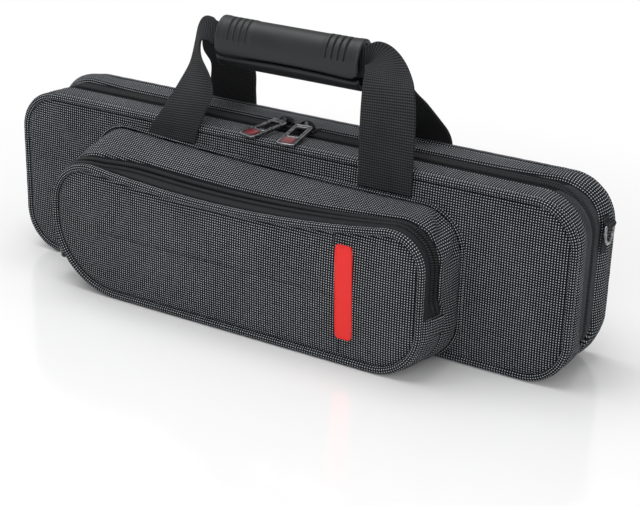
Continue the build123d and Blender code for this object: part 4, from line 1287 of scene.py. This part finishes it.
# ---------------------------------------------------------------------------------------------------
# Lined rims. Each half's foam tray shows only along its rim, where black plush is rolled over the foam's
# edge and glued down inside.
plush = Finish(
    "black_plush", Roughness=0.95, Specular_IOR_Level=0.1,
    Sheen_Weight=0.5, Sheen_Roughness=0.35, Sheen_Tint=(0.35, 0.36, 0.40, 1),
)
pile = plush.noise(2600.0, 2.0)
brushed = plush.noise(30.0, 4.0, 0.6)
nap = brushed * 0.6 + pile * 0.4
plush.feed("Base Color", plush.mix(nap, (0.009, 0.0093, 0.0105), (0.030, 0.031, 0.034)))
plush.bump(pile * 0.6 + brushed * 0.4, 0.0006)
rim_outer, rim_inner, rim_floor = 2.5, 9.45, 23.2
rim_loop = case_loop(0.0)
rim_turn = np.linspace(0, np.pi, 9)
rim_middle, rim_half_wall = (rim_outer + rim_inner) / 2, (rim_inner - rim_outer) / 2
insets = np.concatenate(((rim_outer,) * 3, rim_middle - rim_half_wall * np.cos(rim_turn), (rim_inner,) * 5))
depths = np.concatenate((
    (rim_floor, 14.0, 5.0), 3.1 - 2.5 * np.sin(rim_turn), (6.0, 9.0, 13.0, 18.0, rim_floor),
))
quilted = np.array((0,) * 12 + (0.6, 1, 1, 0.6, 0))
quilt = 0.35 * np.sin(run_of(rim_loop)[0] / 16.0)[:, None] * quilted
for half, side, body in halves:
    grid = carried(rim_loop, outward(rim_loop), -(insets + quilt), mid_y + side * depths)
    rim = joined(f"{half}_rim_lining", [(grid, True)], plush)
    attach(rim, body)
    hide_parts(f"{half}_foam_shell")

# ---------------------------------------------------------------------------------------------------
# Instrument cradle. Moulded board covered in plush, with one long channel for the flute's body and two
# shorter ones for its head and foot joints, and finger notches in the rib between them.
cradle_low, cradle_high = corners_of("instrument_cradle")
cradle_radius = corner_radius - rim_inner
cradle_rows, cradle_columns = 96, 340
board, cradle_floor, cradle_skin = 1.5, 22.6, 0.5
z_share = (1 - np.cos(np.linspace(0, np.pi, cradle_rows))) / 2 * 0.25 + np.linspace(0, 1, cradle_rows) * 0.75
cradle_z = cradle_low[2] + 0.3 + (cradle_high[2] - cradle_low[2] - 0.6) * z_share
from_edge = np.minimum(cradle_z - cradle_low[2], cradle_high[2] - cradle_z)
corner_rise = np.clip(cradle_radius - from_edge, 0, None)
short = cradle_radius - np.sqrt(np.clip(cradle_radius**2 - corner_rise**2, 0, None))
half_x = (cradle_high[0] - cradle_low[0]) / 2 - 0.3 - short
cradle_x = half_x[:, None] * np.linspace(-1, 1, cradle_columns)[None, :]
cradle_z = np.broadcast_to(cradle_z[:, None], cradle_x.shape)


def inside_slot(x, z, middle_x, middle_z, slot_length, slot_width, corner):
    """How far a point lies inside a rounded rectangle; negative outside it."""
    over_x = np.abs(x - middle_x) - slot_length / 2 + corner
    over_z = np.abs(z - middle_z) - slot_width / 2 + corner
    outside = np.hypot(np.clip(over_x, 0, None), np.clip(over_z, 0, None))
    return corner - outside - np.minimum(np.maximum(over_x, over_z), 0)


def scooped(inside, depth, run):
    """A hollow's depth: a rounded lip, then a wall that curves into the floor over run millimetres."""
    t = np.clip((inside + 0.8) / run, 0, 1)
    return depth * smooth_step(t, 0, 0.35) * (0.55 + 0.45 * quarter_round(t))


# each channel's middle in X and Z, its length and its width; then the notches' radius and places
channels = ((0.0, 33.0, 382.0, 36.0), (-74.0, 82.0, 234.0, 32.0), (124.0, 82.0, 134.0, 36.0))
channel_depth, channel_corner, notch_depth, notch_radius, notch_z = 17.7, 8.0, 11.7, 15.0, 57.0
hollow = np.zeros_like(cradle_x)
for channel in channels:
    inside = inside_slot(cradle_x, cradle_z, *channel, channel_corner)
    hollow = np.maximum(hollow, scooped(inside, channel_depth, 7.0))
for notch_x in (-74.0, 124.0):
    inside = notch_radius - np.hypot(cradle_x - notch_x, cradle_z - notch_z)
    hollow = np.maximum(hollow, scooped(inside, notch_depth, 6.0))
sag = 0.25 * np.sin(cradle_x / 31.0) * np.sin(cradle_z / 14.0)
edge_in = np.minimum(cradle_z - cradle_low[2], cradle_high[2] - cradle_z)
edge_in = np.clip(np.minimum(edge_in, half_x[:, None] - np.abs(cradle_x)), 0, None)
cradle_depth = board + hollow + sag + 1.4 * np.exp(-edge_in / 1.2)
cradle_grid = np.stack((cradle_x, mid_y + cradle_depth, cradle_z), axis=-1)
skirt = np.pad(cradle_grid, ((1, 1), (1, 1), (0, 0)), mode="edge")
skirt[[0, -1], :, 1] = mid_y + cradle_floor
skirt[:, [0, -1], 1] = mid_y + cradle_floor
under_cradle = (0, mid_y + 60, height / 2)
cradle = sheet_of("plush_cradle", skirt, skirt[:, 0, 2], skirt[0, :, 0], plush, middle=under_cradle)
thickened(cradle, cradle_skin)
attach(cradle, "base")
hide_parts("instrument_cradle")

# ---------------------------------------------------------------------------------------------------
# Lid pad. A soft foam pad in plush, glued inside the lid, that presses on the flute; it bulges between
# its tied-down edge and three tufts along its middle.
pad_inset, pad_skin = rim_inner + 0.9, 0.8


def pad_depth(distance, x, z):
    """The pad's face: a rounded shoulder at its edge, a soft bulge and a dimple at each tuft."""
    shoulder = 7.2 * quarter_round(distance / 7.0)
    bulge = 1.2 * (1 - np.exp(-distance / 16.0))
    tufts = sum(2.6 * np.exp(-np.hypot(x - tuft, z - height / 2) / 6.0) for tuft in (-100, 0, 100))
    crease = 0.5 * np.sin(x / 11.0 + z / 17.0) * np.exp(-distance / 14.0)
    return mid_y - (22.4 - shoulder - bulge + tufts + crease)


lid_pad = crowned_panel("lid_pad_cushion", case_loop(pad_inset), 48, height / 2, pad_depth, 30, plush)
thickened(lid_pad, pad_skin)
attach(lid_pad, "lid")
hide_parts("lid_pad")

# ---------------------------------------------------------------------------------------------------
# Ends of the pocket's zip. A tab of the dotted cloth is folded over each end and sewn down, so that
# it stops the slider and hides the cut ends of the tapes.
tab_bottom, tab_top = 28.5, 41.5
tab_depths = np.linspace(zip_line + 8.0, zip_line - 8.0, 15, axis=-1)
tab_loop = pocket_loop(zip_line)
tab_along = np.clip((tab_loop[:, 1:] - tab_bottom) / (tab_top - tab_bottom), 0, 1)
tab_across = np.linspace(-1, 1, 15)[None, :]
tab_height = (tab_loop[:, 1] > tab_bottom) & (tab_loop[:, 1] < tab_top)
edge = np.maximum(np.abs(tab_across), np.abs(2 * tab_along - 1))
tab_reach = 1.5 - 1.2 * smooth_step(edge, 0.8, 1.0) + 0.25 * np.sin(tab_along * 9) * (1 - tab_across**2)
for name, side in (("left", -1), ("right", 1)):
    tab_keep = (tab_loop[:, 0] * side > 60) & tab_height
    fold = pocket_band(f"{name}_zip_end_fold", tab_depths, tab_reach, woven, keep=tab_keep)
    thickened(fold, pocket_cloth)
    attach(fold, "lid")
    if side < 0:
        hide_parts("pocket_zip_end_tabs")
